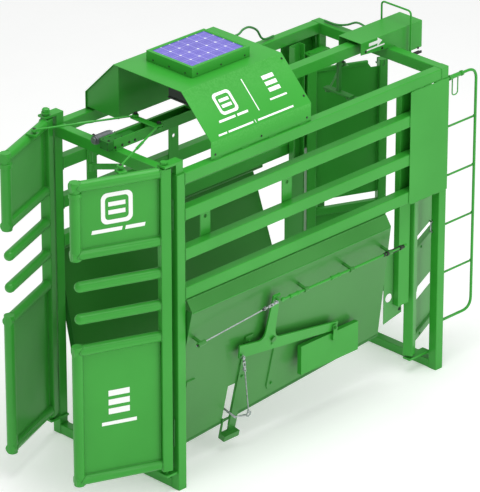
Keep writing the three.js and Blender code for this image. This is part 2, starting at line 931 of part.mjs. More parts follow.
// Tail housing and release hoop.
const housingHalf = housingWidth / 2;
const housingTop = frameHeight + housingHeight;
const housingY = [rearY - housingFront, rearY + housingBack];
const hoopY = rearY + hoopBack;
const hoopPivotZ = frameHeight - housingDrop - 14;

function tailHousing() {
  const step = rearY + post / 2 + 4;
  const side = outline([
    [housingY[0], frameHeight + 18],
    [rearY - post / 2 - 6, frameHeight + gap],
    [step, frameHeight + gap],
    [step, frameHeight - housingDrop],
    [housingY[1], frameHeight - housingDrop],
    [housingY[1], housingTop],
    [housingY[0], housingTop],
  ]);
  const pieces = [
    plate(side, housingHalf - sheet, housingHalf, alongY, alongZ),
    plate(side, -housingHalf, -housingHalf + sheet, alongY, alongZ),
    block([-housingHalf, housingHalf], housingY, [housingTop - sheet, housingTop]),
    block(
      [-housingHalf, housingHalf],
      [housingY[1] - sheet, housingY[1]],
      [frameHeight - housingDrop, housingTop],
    ),
    block(
      [-housingHalf, housingHalf],
      [step, housingY[1]],
      [frameHeight - housingDrop, frameHeight - housingDrop + sheet],
    ),
  ];
  for (const x of [-50, 50]) {
    const points = [
      [hoopY - 16, hoopPivotZ - 14],
      [hoopY + 16, hoopPivotZ - 14],
      [hoopY + 16, frameHeight - housingDrop + 1],
      [hoopY - 16, frameHeight - housingDrop + 1],
    ];
    const hole = { x: hoopY, y: hoopPivotZ, r: hoopRod + running };
    pieces.push(plate(outline(points, [hole]), x - 4, x + 4, alongY, alongZ));
  }
  return join(pieces);
}

function releaseHoop() {
  const half = hoopWidth / 2;
  const top = frameHeight + hoopTop;
  const legs = bentRod(
    [
      [0, hoopY, hoopPivotZ],
      [half, hoopY, hoopPivotZ],
      [half, hoopY, top],
      [-half, hoopY, top],
      [-half, hoopY, hoopPivotZ],
      [-20, hoopY, hoopPivotZ],
    ],
    16,
    hoopRod,
    8,
  );
  const shaft = bar([-60, hoopY, hoopPivotZ], [60, hoopY, hoopPivotZ], hoopRod, 8);
  return join([legs, shaft]);
}

addPiece("tail_housing", tailHousing(), paint);
addPiece("release_hoop", releaseHoop(), paint);

// Squeeze sides.
const sideAxisX = halfWidth - sideAxisIn;
const sideAxisZ = lowerRailZ - sideAxisDrop;
const ledgeX = halfWidth + ledgeOut;
const ledgeZ = lowerRailZ - ledgeDrop;
const slope = rad(sideSlope);

// The sheet's own frame: X along the chute, Y down the slope, Z out of the outer face.
const slopeDown = (side) => [-side * Math.sin(slope), 0, -Math.cos(slope)];

// A plate in the plane of a side, between two distances off its outer face.
function sidePlate(side, shape, a, b, curveSegments = 6) {
  const down = slopeDown(side);
  const origin = [side * ledgeX, 0, ledgeZ];
  // along Y crossed with the slope points to -X, so the near side's depths are turned round
  const [from, to] = side === near ? [-b, -a] : [a, b];
  return plate(shape, from, to, alongY, down, origin, curveSegments);
}

const latchBar = { y: [498, 552], t: [330, 988], foot: 44 };
const latchWindow = { y: [438, 494], t: [640, 868] };

function bottomDepth(y) {
  const share = (y - sideFront) / (sideRearLow - sideFront);
  return sideDepthFront + share * (sideDepthRear - sideDepthFront);
}

function squeezeSide(side) {
  const points = [
    [sideFront, 0],
    [sideRear, 0],
    [sideRearLow, sideDepthRear],
    [sideFront, sideDepthFront],
  ];
  const window = [
    [latchWindow.y[0], latchWindow.t[0]],
    [latchWindow.y[1], latchWindow.t[0]],
    [latchWindow.y[1], latchWindow.t[1]],
    [latchWindow.y[0], latchWindow.t[1]],
  ];
  const holes = side === near ? [window] : [];
  const pieces = [sidePlate(side, outline(points, holes), -sideSheet, 0)];

  // hinge tube, lip and ledge above the sheet
  const ledge = outline([
    [side * (sideAxisX + 2), sideAxisZ + sideAxisTube - 4],
    [side * (sideAxisX + 2), sideAxisZ + sideAxisTube],
    [side * (halfWidth + 3), sideAxisZ + 7],
    [side * ledgeX, ledgeZ + 1],
    [side * (ledgeX - 1), ledgeZ - 4],
    [side * (ledgeX - 6), ledgeZ - 3],
    [side * (halfWidth + 1), sideAxisZ + 2],
  ]);
  pieces.push(plate(ledge, -sideRear, -sideFront, alongX, alongZ));
  pieces.push(
    bar(
      [side * sideAxisX, sideFront, sideAxisZ],
      [side * sideAxisX, sideRear, sideAxisZ],
      sideAxisTube,
      12,
    ),
  );

  // flange turned in along the bottom edge
  const flangeTurn = slope + rad(42);
  const edge = (y, reach, off) => {
    const t = bottomDepth(y) - 2;
    const x = ledgeX - Math.sin(slope) * t - Math.cos(slope) * off;
    const z = ledgeZ - Math.cos(slope) * t + Math.sin(slope) * off;
    return [
      side * (x - Math.sin(flangeTurn) * reach),
      y,
      z - Math.cos(flangeTurn) * reach,
    ];
  };
  const [a, b] = [edge(sideFront, sideFlange / 2, 2), edge(sideRearLow, sideFlange / 2, 2)];
  const up = [side * Math.sin(flangeTurn), 0, Math.cos(flangeTurn)];
  const strip = new THREE.Shape([
    new THREE.Vector2(-sideSheet / 2, -sideFlange / 2),
    new THREE.Vector2(sideSheet / 2, -sideFlange / 2),
    new THREE.Vector2(sideSheet / 2, sideFlange / 2),
    new THREE.Vector2(-sideSheet / 2, sideFlange / 2),
  ]);
  pieces.push(extrudeBetween(strip, a, b, up));

  // stiffeners on the outer face
  for (const y of [120, 780, 1180]) {
    const rib = outline([
      [y - 30, 470],
      [y + 30, 470],
      [y + 30, 760],
      [y + 16, 784],
      [y - 16, 784],
      [y - 30, 760],
    ]);
    if (side === far || y !== 1180) pieces.push(sidePlate(side, rib, -1, 7));
  }
  if (side === near) pieces.push(...nearFittings());
  return join(pieces);
}

// The near side also carries the crank's pivot, two rod guides and the latch bar.
function nearFittings() {
  const [py, pt] = crankPivot;
  const boss = outline(circlePoints(py, pt, 27, 16));
  const pin = outline(circlePoints(py, pt, crankPin, 16));
  const head = outline(circlePoints(py, pt, 17, 6));
  const [ly0, ly1] = latchBar.y;
  const [lt0, lt1] = latchBar.t;
  const strip = rectangle(ly0, ly1, lt0, lt1);
  const foot = rectangle(latchWindow.y[0], ly1, lt1 - 34, lt1);
  const pieces = [
    sidePlate(near, boss, -1, crankStand - gap),
    sidePlate(near, pin, -1, crankStand + crankPlate + 4),
    sidePlate(near, head, crankStand + crankPlate + 1.5, crankStand + crankPlate + 12),
    sidePlate(near, strip, -1, 9),
    sidePlate(near, foot, -1, latchBar.foot),
    sidePlate(near, rectangle(latchWindow.y[0], latchWindow.y[0] + 8, lt1 - 130, lt1), -1, 9),
  ];
  for (const place of [cableGuideY, ...pushGuides]) pieces.push(rodGuide(place));
  return pieces;
}

function rectangle(x0, x1, y0, y1) {
  return outline([
    [x0, y0],
    [x1, y0],
    [x1, y1],
    [x0, y1],
  ]);
}

function circlePoints(x, y, r, sides) {
  const points = [];
  for (let i = 0; i < sides; i += 1) {
    const angle = (i / sides) * 2 * Math.PI;
    points.push([x + r * Math.cos(angle), y + r * Math.sin(angle)]);
  }
  return points;
}

// A point given along Y, down the near side's slope and out of its face.
function onSide([y, t], out) {
  return [
    ledgeX - Math.sin(slope) * t + Math.cos(slope) * out,
    y,
    ledgeZ - Math.cos(slope) * t - Math.sin(slope) * out,
  ];
}

const rodOut = crankStand + crankPlate + 22; // the rods and cables run this far off the face
const cableGuideY = 82;
const cableGuideHalf = 26;
const pushGuides = [850, 1200, 1500];
const pushRodRadius = 7;
const guideBore = 10;

// A sleeve on a short stem that a rod slides through.
function rodGuide(y) {
  const onCable = y === cableGuideY;
  const t = onCable ? cableDepth(y) : crankTop[1];
  const half = onCable ? cableGuideHalf : 14;
  const from = onSide([y - half, onCable ? cableDepth(y - half) : t], rodOut);
  const to = onSide([y + half, onCable ? cableDepth(y + half) : t], rodOut);
  const stem = sidePlate(near, rectangle(y - 8, y + 8, t - 5, t + 5), -1, rodOut - guideBore - 1);
  return bar(from, to, guideBore + 3, 12)
    .subtract(
      bar(
        onSide([y - half - 2, onCable ? cableDepth(y - half - 2) : t], rodOut),
        onSide([y + half + 2, onCable ? cableDepth(y + half + 2) : t], rodOut),
        onCable ? cableRadius + 2.5 : pushRodRadius + 1,
        12,
      ),
    )
    .add(stem);
}

// How far down the slope the front cable runs at a place along Y.
function cableDepth(y) {
  const fall = 62; // over the cable's length
  return crankTop[1] + (fall * (crankTop[0] - y)) / (crankTop[0] - cableFront);
}

addPiece("near_squeeze_side", squeezeSide(near), paint);
addPiece("far_squeeze_side", squeezeSide(far), paint);

// Crank, rods, cables and weight.
function crankOutline() {
  const [ly, lt] = crankLeft;
  const [ry, rt] = crankRight;
  const [ty, tt] = crankTop;
  const share = (y) => (y - ly) / (ry - ly);
  const middle = (y) => lt + share(y) * (rt - lt);
  const halfArm = (y) => (crankArm + share(y) * (crankArmRight - crankArm)) / 2;
  const across = (y) => middle(y) - halfArm(y);
  const under = (y) => middle(y) + halfArm(y);
  const neck = crankNeck / 2;
  const shape = new THREE.Shape();
  shape.moveTo(ly - 14, across(ly - 14));
  shape.lineTo(ty - neck - 55, across(ty - neck - 55));
  const frontBend = ty - neck - 6;
  shape.quadraticCurveTo(frontBend, across(ty - neck), frontBend, across(ty) - 75);
  shape.lineTo(ty - neck, tt - 26);
  shape.lineTo(ty + neck, tt - 26);
  shape.lineTo(ty + neck + 14, across(ty + neck) - 80);
  const rearEnd = ty + neck + 60;
  shape.quadraticCurveTo(ty + neck + 16, across(ty + neck) - 6, rearEnd, across(rearEnd));
  shape.lineTo(ry + 28, across(ry + 28));
  shape.lineTo(ry + 28, under(ry + 28));
  shape.lineTo(ly, under(ly));
  shape.closePath();
  const hole = new THREE.Path();
  hole.absarc(crankPivot[0], crankPivot[1], crankPin + running, 0, 2 * Math.PI, true);
  shape.holes.push(hole);
  return shape;
}

function crank() {
  const body = sidePlate(near, crankOutline(), crankStand, crankStand + crankPlate, 8);
  const top = crankStand + crankPlate;
  const pegs = [
    [crankTop, rodOut - 10],
    [[crankLeft[0] + 8, crankLeft[1] + 22], rodOut - 10],
    [[crankRight[0], crankRight[1]], top + 16],
  ];
  const pieces = pegs.map(([place, out]) =>
    sidePlate(near, outline(circlePoints(place[0], place[1], 6, 12)), top - 1, out),
  );
  return join([body, ...pieces]);
}

// The cable from the front guide to the top of the crank, with its turnbuckle.
function frontCable() {
  const start = onSide([cableFront, cableDepth(cableFront)], rodOut);
  const end = onSide([crankTop[0] - 14, crankTop[1]], rodOut);
  const a = onSide([crankTop[0] - 100, cableDepth(crankTop[0] - 100)], rodOut);
  const b = onSide([crankTop[0] - 24, cableDepth(crankTop[0] - 24)], rodOut);
  const eye = sidePlate(
    near,
    outline(circlePoints(crankTop[0] - 4, crankTop[1], 13, 12)),
    rodOut - 5,
    rodOut + 5,
  );
  return join([bar(start, end, cableRadius, 8), bar(a, b, 8, 8), eye]);
}

// The rod from the top of the crank to the tail.
function pushRod() {
  const t = crankTop[1];
  const start = onSide([crankTop[0] + 20, t], rodOut);
  const eye = sidePlate(
    near,
    outline(circlePoints(crankTop[0] + 26, t, 12, 12)),
    rodOut - 6,
    rodOut + 6,
  );
  const end = onSide([pushRodEnd, t], rodOut);
  const head = onSide([pushRodEnd - 20, t], rodOut);
  return join([bar(start, end, pushRodRadius, 10), eye, bar(head, end, 11, 8)]);
}

const latchEnd = [578, 838];

// The cable from the crank down to the latch pin that crosses the latch bar.
function latchCable() {
  const top = [crankLeft[0] + 8, crankLeft[1] + 22];
  const start = onSide([top[0] + 3, top[1] + 10], rodOut);
  const end = onSide(latchEnd, rodOut);
  const a = onSide([top[0] + 8, top[1] + 26], rodOut);
  const b = onSide([top[0] + 21, top[1] + 66], rodOut);
  const disc = outline(circlePoints(top[0], top[1], 11, 12));
  const eye = sidePlate(near, disc, rodOut - 4, rodOut + 4);
  const [ry, rt] = [latchEnd[0], latchEnd[1] + 4];
  const ring = sidePlate(
    near,
    outline(circlePoints(ry, rt, 19, 16), [{ x: ry, y: rt, r: 11 }]),
    rodOut - 4,
    rodOut + 4,
    8,
  );
  const pinPlace = [latchWindow.y[0] + 30, rt - 24];
  const arm = bar(onSide([ry - 14, rt], rodOut), onSide(pinPlace, rodOut), 5, 8);
  const pin = bar(onSide(pinPlace, rodOut + 6), onSide(pinPlace, -60), 6, 8);
  return join([bar(start, end, cableRadius, 8), bar(a, b, 6.5, 8), eye, ring, arm, pin]);
}

// The weight hangs upright on the crank's long arm.
function counterweight() {
  const pin = onSide(crankRight, crankStand + crankPlate + 8);
  const [thick, long, high] = weightSize;
  const top = pin[2] - 36;
  const outer = pin[0] - 12;
  const y = [pin[1] - 248, pin[1] - 248 + long];
  const body = block([outer - thick, outer], y, [top - high, top]);
  const step = block([outer - 6, pin[0] + 4], [pin[1] - 16, pin[1] + 16], [top - 40, top - 4]);
  const link = outline(
    [
      [pin[1] - 14, top - 40],
      [pin[1] + 14, top - 40],
      [pin[1] + 14, pin[2] + 16],
      [pin[1] - 14, pin[2] + 16],
    ],
    [{ x: pin[1], y: pin[2], r: 9 }],
  );
  return join([body, step, plate(link, pin[0] - 2, pin[0] + 4, alongY, alongZ)]);
}

addPiece("side_crank", crank(), paint);
addPiece("front_cable", frontCable(), zinc);
addPiece("push_rod", pushRod(), paint);
addPiece("latch_cable", latchCable(), zinc);
addPiece("counterweight", counterweight(), paint);

// Rear grille with its loop.
const grilleX = postX + 8;
const grilleReach = 245; // behind the rear posts
const grilleTop = 1745;
const grilleBottom = 285;
const grilleSpacing = 293;
const grilleRod = 8;
const rungRod = 6;
const grilleStart = rearY + post / 2 + gap;

function rearGrille() {
  const back = grilleStart + grilleReach;
  const frameRod = bentRod(
    [
      [grilleX, grilleStart, grilleTop],
      [grilleX, back, grilleTop],
      [grilleX, back, grilleBottom],
      [grilleX, grilleStart, grilleBottom],
    ],
    70,
    grilleRod,
    10,
  );
  const pieces = [frameRod];
  for (let i = 1; i <= 4; i += 1) {
    const z = grilleBottom + i * grilleSpacing;
    pieces.push(bar([grilleX, grilleStart, z], [grilleX, back - 2, z], rungRod, 8));
  }
  for (const y of [grilleStart + 22, grilleStart + 118]) {
    pieces.push(bar([grilleX, y, grilleTop], [grilleX, y + 14, grilleTop], 15, 12));
  }
  return join(pieces);
}

// A loop that swings on a sleeve between the two collars.
function grilleLoop() {
  const y0 = grilleStart + 38;
  const y1 = grilleStart + 116;
  const sleeve = bar([grilleX, y0, grilleTop], [grilleX, y1, grilleTop], 12.5, 12);
  const bore = bar([grilleX, y0 - 1, grilleTop], [grilleX, y1 + 1, grilleTop], grilleRod + 0.8, 12);
  const low = grilleTop - 112;
  const loop = bentRod(
    [
      [grilleX, y0 + 14, grilleTop - 11],
      [grilleX, y0 + 14, low],
      [grilleX, y0 + 58, low],
      [grilleX, y0 + 58, grilleTop - 11],
    ],
    20,
    3.5,
    8,
  );
  return sleeve.subtract(bore).add(loop);
}

addPiece("rear_grille", rearGrille(), paint);
addPiece("grille_loop", grilleLoop(), paint);

// Trip lever under the front beam.
const tripX = -190;

function tripLever() {
  const z = frameHeight - beamHeight - 105;
  const turn = rad(45);
  const end = [tripX + 160 * Math.cos(turn), 160 * Math.sin(turn), z];
  const lever = tube([tripX, 0, z], end, 10, 34);
  const stem = bar([tripX, 0, z - 10], [tripX, 0, frameHeight - beamHeight - 1.5], 11, 16);
  const collar = bar([tripX, 0, z - 24], [tripX, 0, z + 24], 17, 16);
  return join([stem, lever, collar]);
}

addPiece("trip_lever", tripLever(), paint);

// Harness cables, held along their whole length.
const harness = 6;

function smoothRoute(points, steps) {
  const curve = new THREE.CatmullRomCurve3(points.map((p) => new THREE.Vector3(...p)));
  return sweep(curve.getSpacedPoints(steps), harness, 8);
}

function hoodCable() {
  const y = hoodFront + hoodLength;
  const z = frameHeight;
  const rest = z + harness + 6;
  return smoothRoute(
    [
      [-240, y - 70, z + 262],
      [-165, y - 21, z + 288],
      [-110, y + 34, z + 305],
      [-190, y + 159, z + 277],
      [-262, y + 279, z + 235],
      [-375, y + 449, z + 135],
      [-postX + 12, y + 559, z + 38],
      [-postX, y + 604, rest],
      [-postX, y + 669, rest],
    ],
    60,
  );
}

function tailCable() {
  const z = frameHeight;
  const start = rearY - 30;
  return smoothRoute(
    [
      [-postX + 40, start + 30, z + harness + 4],
      [-330, start + 30, z + harness + 6],
      [-250, start + 30, z + 34],
      [-190, start + 45, z + 60],
      [-135, start + 55, z + 50],
      [-housingHalf - harness - gap, start + 60, z + 36],
    ],
    30,
  );
}

addPiece("hood_cable", hoodCable(), darkRubber);
addPiece("tail_cable", tailCable(), darkRubber);

export default chute;
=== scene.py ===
# Cattle squeeze chute: powder-coated tube frame, two split gates, squeeze sides and two drives on top.
# Lengths in the settings are millimetres and are turned to metres by at(). X is the crank's side, Y the tail.
import json
import math

import bmesh
import bpy
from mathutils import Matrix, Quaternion, Vector

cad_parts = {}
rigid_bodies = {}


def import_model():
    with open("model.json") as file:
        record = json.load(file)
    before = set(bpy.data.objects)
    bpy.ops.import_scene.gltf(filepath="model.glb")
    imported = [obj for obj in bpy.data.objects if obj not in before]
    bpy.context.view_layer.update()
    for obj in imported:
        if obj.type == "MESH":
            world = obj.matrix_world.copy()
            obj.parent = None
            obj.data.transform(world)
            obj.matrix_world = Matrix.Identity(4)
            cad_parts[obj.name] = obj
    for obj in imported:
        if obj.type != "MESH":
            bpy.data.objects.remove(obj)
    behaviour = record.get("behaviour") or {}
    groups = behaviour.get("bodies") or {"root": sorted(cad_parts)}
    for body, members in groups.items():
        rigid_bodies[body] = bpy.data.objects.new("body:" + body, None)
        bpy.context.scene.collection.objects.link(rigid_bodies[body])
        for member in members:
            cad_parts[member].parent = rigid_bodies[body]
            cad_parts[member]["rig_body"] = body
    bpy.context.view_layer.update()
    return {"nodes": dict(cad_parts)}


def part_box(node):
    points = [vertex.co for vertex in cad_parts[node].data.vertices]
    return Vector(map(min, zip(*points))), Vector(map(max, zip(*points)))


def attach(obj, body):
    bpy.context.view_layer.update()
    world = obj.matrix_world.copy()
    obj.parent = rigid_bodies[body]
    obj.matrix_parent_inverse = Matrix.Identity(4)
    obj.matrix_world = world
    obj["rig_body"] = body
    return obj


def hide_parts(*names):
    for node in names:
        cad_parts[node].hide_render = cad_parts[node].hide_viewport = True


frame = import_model()
nodes = frame["nodes"]
sides = {"near": 1, "far": -1}
print("frame loaded,", len(nodes), "nodes")


def at(x, y, z):
    return Vector((x, y, z)) * 0.001


def linear(hexColour):
    # sRGB hex to the linear values a shader socket takes
    parts = [int(hexColour[i : i + 2], 16) / 255 for i in (1, 3, 5)]
    curve = [c / 12.92 if c <= 0.04045 else ((c + 0.055) / 1.055) ** 2.4 for c in parts]
    return (*curve, 1.0)


def addNode(tree, kind, settings=None, inputs=None):
    # one node with its settings; an input is a value or another node's output
    node = tree.nodes.new(kind)
    for name, value in (settings or {}).items():
        setattr(node, name, value)
    for name, value in (inputs or {}).items():
        if isinstance(value, bpy.types.NodeSocket):
            tree.links.new(value, node.inputs[name])
        else:
            node.inputs[name].default_value = value
    return node


# Materials

def newMaterial(name):
    material = bpy.data.materials.new(name)
    material.use_nodes = True
    tree = material.node_tree
    tree.nodes.clear()
    where = addNode(tree, "ShaderNodeTexCoord").outputs["Object"]
    return material, tree, where


def finishMaterial(tree, values):
    shader = addNode(tree, "ShaderNodeBsdfPrincipled", inputs=values)
    addNode(tree, "ShaderNodeOutputMaterial", inputs={"Surface": shader.outputs[0]})


def mixColour(tree, factor, first, second):
    # sockets 6, 7 and 2 are the mix node's two colours and its result; a colour may be given as hex
    first, second = (linear(c) if isinstance(c, str) else c for c in (first, second))
    return addNode(tree, "ShaderNodeMix", {"data_type": "RGBA"}, {0: factor, 6: first, 7: second}).outputs[2]


def spread(tree, value, low, high, toLow=0.0, toHigh=1.0):
    inputs = {"Value": value, "From Min": low, "From Max": high, "To Min": toLow, "To Max": toHigh}
    return addNode(tree, "ShaderNodeMapRange", {"clamp": True}, inputs).outputs[0]


def calc(tree, operation, first, second=0.0):
    return addNode(tree, "ShaderNodeMath", {"operation": operation}, {0: first, 1: second}).outputs[0]


def noise(tree, where, scale, detail, roughness=0.5):
    inputs = {"Vector": where, "Scale": scale, "Detail": detail, "Roughness": roughness}
    return addNode(tree, "ShaderNodeTexNoise", inputs=inputs).outputs[0]


def voronoi(tree, where, scale):
    return addNode(tree, "ShaderNodeTexVoronoi", inputs={"Vector": where, "Scale": scale}).outputs["Color"]


def bump(tree, height, strength, distance):
    inputs = {"Strength": strength, "Distance": distance, "Height": height}
    return addNode(tree, "ShaderNodeBump", inputs=inputs).outputs[0]


def powderCoat(name, settings):
    # polyester powder coat on steel: even colour, faint orange peel, paler on edges where the coat wears thin and as a
    # painted highlight, painted shade in corners
    material, tree, where = newMaterial(name)
    cloud = noise(tree, where, settings["cloudPerMetre"], 3.0)
    colour = mixColour(tree, spread(tree, cloud, 0.35, 0.65), settings["base"], settings["drift"])
    # painted shade: ambient occlusion mixes the colour towards the dark corner green in corners and narrow gaps
    corner = addNode(tree, "ShaderNodeAmbientOcclusion", {"samples": 4}, {"Distance": settings["paintedShadeReach"]})
    shade = spread(tree, corner.outputs["AO"], 0.25, 0.95, settings["paintedCornerShade"], 0.0)
    colour = mixColour(tree, shade, colour, settings["corner"])
    # edges turn paler: partly coat worn thin, partly a painted highlight where the edges catch the light
    rounded = addNode(tree, "ShaderNodeBevel", {"samples": 4}, {"Radius": settings["edgeReach"]})
    flat = addNode(tree, "ShaderNodeNewGeometry").outputs["True Normal"]
    along = addNode(tree, "ShaderNodeVectorMath", {"operation": "DOT_PRODUCT"}, {0: rounded.outputs[0], 1: flat})
    edge = spread(tree, along.outputs["Value"], 0.98, 0.72)
    chipAndGlintNoise = noise(tree, where, 95.0, 4.0)
    wearAndHighlight = calc(tree, "MULTIPLY", edge, spread(tree, chipAndGlintNoise, 0.42, 0.6, 0.25, settings["edgeWearAndHighlight"]))
    colour = mixColour(tree, wearAndHighlight, colour, settings["edge"])
    # peel cells are 3 mm across, twice the real size, so that they catch the light at all
    peel = noise(tree, where, 330.0, 2.0, 0.45)
    swell = noise(tree, where, 9.0, 2.0)
    height = calc(tree, "ADD", peel, calc(tree, "MULTIPLY", swell, settings["swell"]))
    rough = spread(tree, cloud, 0.3, 0.7, settings["rough"] - 0.04, settings["rough"] + 0.06)
    finishMaterial(tree, {
        "Base Color": colour, "Roughness": rough, "Normal": bump(tree, height, settings["peel"], 0.0006), "IOR": 1.5,
        "Specular IOR Level": settings["shine"], "Coat Weight": settings["coat"], "Coat Roughness": 0.15,
        "Coat IOR": 1.5})
    return material


# the dark 'corner' green is painted shade for corners and gaps; the pale 'edge' green is edge wear together with a
# painted highlight
greenCoat = {"base": "#36A133", "drift": "#319A2E", "corner": "#1F701F", "edge": "#5DBB58", "cloudPerMetre": 2.2,
             "paintedShadeReach": 0.05, "paintedCornerShade": 0.4, "edgeReach": 0.0024, "edgeWearAndHighlight": 0.6, "peel": 0.22,
             "swell": 0.6, "rough": 0.36, "coat": 0.08, "shine": 0.35}
tubeCoat = powderCoat("green_powder_coat_on_tube", greenCoat)
# a little darker than the tube coat as painted shade on the far and under-hood sheets; the larger swell is the sheets'
# waviness
shadedSheetCoat = powderCoat("green_powder_coat_on_sheet_painted_shade", {
    **greenCoat, "base": "#349A32", "drift": "#30932E", "swell": 2.6, "coat": 0.05, "shine": 0.3})
# darker copy of the green on the squeeze sides: painted shade for faces that tilt downward, away from the light
shadedWallCoat = powderCoat("green_powder_coat_on_wide_sheet_painted_shade", {
    **greenCoat, "base": "#307F2C", "drift": "#3A8836", "swell": 2.6, "rough": 0.34, "coat": 0.15,
    "cloudPerMetre": 1.4, "paintedCornerShade": 0.45})
# darker copy of the green: painted shade for parts that sit in shadow, such as the tail drive behind the tail panel
shadedCoat = powderCoat("green_powder_coat_thin_inside", {
    **greenCoat, "base": "#287A29", "drift": "#236E25", "swell": 1.6, "rough": 0.42, "coat": 0.05})
# paler, greyer copy of the green: painted light on the near guide plate and near tail panel, matte with no coat
paleLitCoat = powderCoat("green_powder_coat_matte_painted_light", {
    **greenCoat, "base": "#4D9A4B", "drift": "#579F55", "swell": 1.2, "rough": 0.5, "coat": 0.0, "paintedCornerShade": 0.3})
weldCoat = powderCoat("green_powder_coat_over_weld", {
    **greenCoat, "base": "#31962F", "drift": "#2B8A29", "paintedCornerShade": 0.35, "rough": 0.32, "coat": 0.1})


def metalFinish(name, settings):
    # plated or bare metal: a grain in the tone and in the roughness, darker where dirt sits
    material, tree, where = newMaterial(name)
    cell = voronoi(tree, where, settings["grainPerMetre"])
    stain = noise(tree, where, 38.0, 4.0)
    colour = mixColour(tree, spread(tree, cell, 0.2, 0.9), settings["base"], settings["light"])
    colour = mixColour(tree, spread(tree, stain, 0.5, 0.75, 0.0, settings["stain"]), colour, settings["dirt"])
    rough = spread(tree, stain, 0.3, 0.7, settings["rough"] - 0.05, settings["rough"] + 0.1)
    finishMaterial(tree, {
        "Base Color": colour, "Metallic": settings["metal"], "Roughness": rough,
        "Normal": bump(tree, stain, 0.15, 0.0003)})
    return material


zincPlate = metalFinish("zinc_plated_steel", {
    "base": "#A6ABAE", "light": "#C9CDCF", "dirt": "#4F5350", "grainPerMetre": 170.0, "stain": 0.55, "rough": 0.34,
    "metal": 1.0})
darkZinc = metalFinish("black_oxide_steel", {
    "base": "#3B3F3C", "light": "#50554F", "dirt": "#20231F", "grainPerMetre": 260.0, "stain": 0.6, "rough": 0.45,
    "metal": 0.9})
brightRod = metalFinish("hard_chromed_rod", {
    "base": "#D8DADB", "light": "#E6E8E9", "dirt": "#9A9D9E", "grainPerMetre": 90.0, "stain": 0.2, "rough": 0.16,
    "metal": 1.0})
castGrey = metalFinish("die_cast_aluminium", {
    "base": "#7C8184", "light": "#8E9396", "dirt": "#3C3F40", "grainPerMetre": 600.0, "stain": 0.5, "rough": 0.5,
    "metal": 0.75})


def plasticFinish(name, settings):
    # moulded plastic: one colour with a fine spark texture
    material, tree, where = newMaterial(name)
    grain = noise(tree, where, settings["grainPerMetre"], 3.0)
    colour = mixColour(tree, spread(tree, grain, 0.35, 0.65), settings["base"], settings["light"])
    finishMaterial(tree, {
        "Base Color": colour, "Roughness": settings["rough"], "IOR": 1.46,
        "Normal": bump(tree, grain, settings["bump"], 0.0004)})
    return material


loomPlastic = plasticFinish("green_split_loom", {
    "base": "#2F7D36", "light": "#378A3D", "grainPerMetre": 420.0, "bump": 0.2, "rough": 0.5})
boxPlastic = plasticFinish("dark_polycarbonate_box", {
    "base": "#2C302E", "light": "#343936", "grainPerMetre": 700.0, "bump": 0.25, "rough": 0.55})
whiteVinyl = plasticFinish("white_cast_vinyl", {
    "base": "#F4F7F3", "light": "#FBFCFA", "grainPerMetre": 500.0, "bump": 0.06, "rough": 0.4})


def solarCells(name, settings):
    # cells under glass: pale lines at the cell edges, pale busbars and collector lines, white backing at the cells'
    # clipped corners
    material, tree, where = newMaterial(name)
    split = addNode(tree, "ShaderNodeSeparateXYZ", inputs={0: where})
    parts = {}
    for axis, (low, high), count in (("X", settings["x"], settings["across"]), ("Y", settings["y"], settings["along"])):
        pitch = (high - low) / count
        place = calc(tree, "DIVIDE", calc(tree, "SUBTRACT", split.outputs[axis], low), pitch)
        inCell = calc(tree, "FRACT", place)
        toEdge = calc(tree, "MULTIPLY", calc(tree, "MINIMUM", inCell, calc(tree, "SUBTRACT", 1.0, inCell)), pitch)
        parts[axis] = {"inCell": inCell, "toEdge": toEdge, "pitch": pitch, "cell": calc(tree, "FLOOR", place)}
    edge = calc(tree, "MINIMUM", parts["X"]["toEdge"], parts["Y"]["toEdge"])
    cornerSum = calc(tree, "ADD", parts["X"]["toEdge"], parts["Y"]["toEdge"])
    tone = addNode(tree, "ShaderNodeCombineXYZ", inputs={0: parts["X"]["cell"], 1: parts["Y"]["cell"]})
    random = addNode(tree, "ShaderNodeTexWhiteNoise", {"noise_dimensions": "3D"}, {"Vector": tone.outputs[0]})
    colour = mixColour(tree, random.outputs["Value"], settings["cell"], settings["cellLight"])
    flake = voronoi(tree, where, 120.0)
    colour = mixColour(tree, spread(tree, flake, 0.2, 1.0, 0.0, 0.35), colour, settings["flake"])
    finger = calc(tree, "FRACT", calc(tree, "DIVIDE", split.outputs["Y"], settings["fingerPitch"]))
    colour = mixColour(tree, spread(tree, finger, 0.62, 0.7, 0.0, 0.22), colour, settings["line"])
    for share in (0.25, 0.75):
        off = calc(tree, "ABSOLUTE", calc(tree, "SUBTRACT", parts["X"]["inCell"], share))
        bar = spread(tree, calc(tree, "MULTIPLY", off, parts["X"]["pitch"]), 0.0011, 0.0007, 0.0, 0.55)
        colour = mixColour(tree, bar, colour, settings["line"])
    colour = mixColour(tree, spread(tree, edge, 0.0017, 0.0011), colour, settings["line"])
    colour = mixColour(tree, spread(tree, cornerSum, 0.0085, 0.0075), colour, settings["backing"])
    finishMaterial(tree, {
        "Base Color": colour, "Roughness": 0.3, "Coat Weight": 1.0, "Coat Roughness": 0.03, "Coat IOR": 1.5})
    return material


panelLow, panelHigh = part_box("solar_panel")
cellGlass = solarCells("solar_cells_under_glass", {
    "x": (panelLow.x + 0.006, panelHigh.x - 0.006), "y": (panelLow.y + 0.006, panelHigh.y - 0.006),
    "across": 4, "along": 6, "fingerPitch": 0.0032,
    "cell": "#4438B4", "cellLight": "#5145C4", "flake": "#6A5AD8", "line": "#A9A6EC", "backing": "#EEF0FA"})
print("materials made")


# Mesh helpers

def newPiece(name, mesh, material, body):
    piece = bpy.data.objects.new(name, mesh)
    bpy.context.scene.collection.objects.link(piece)
    if material is not None:
        mesh.materials.clear()
        mesh.materials.append(material)
    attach(piece, body)
    return piece


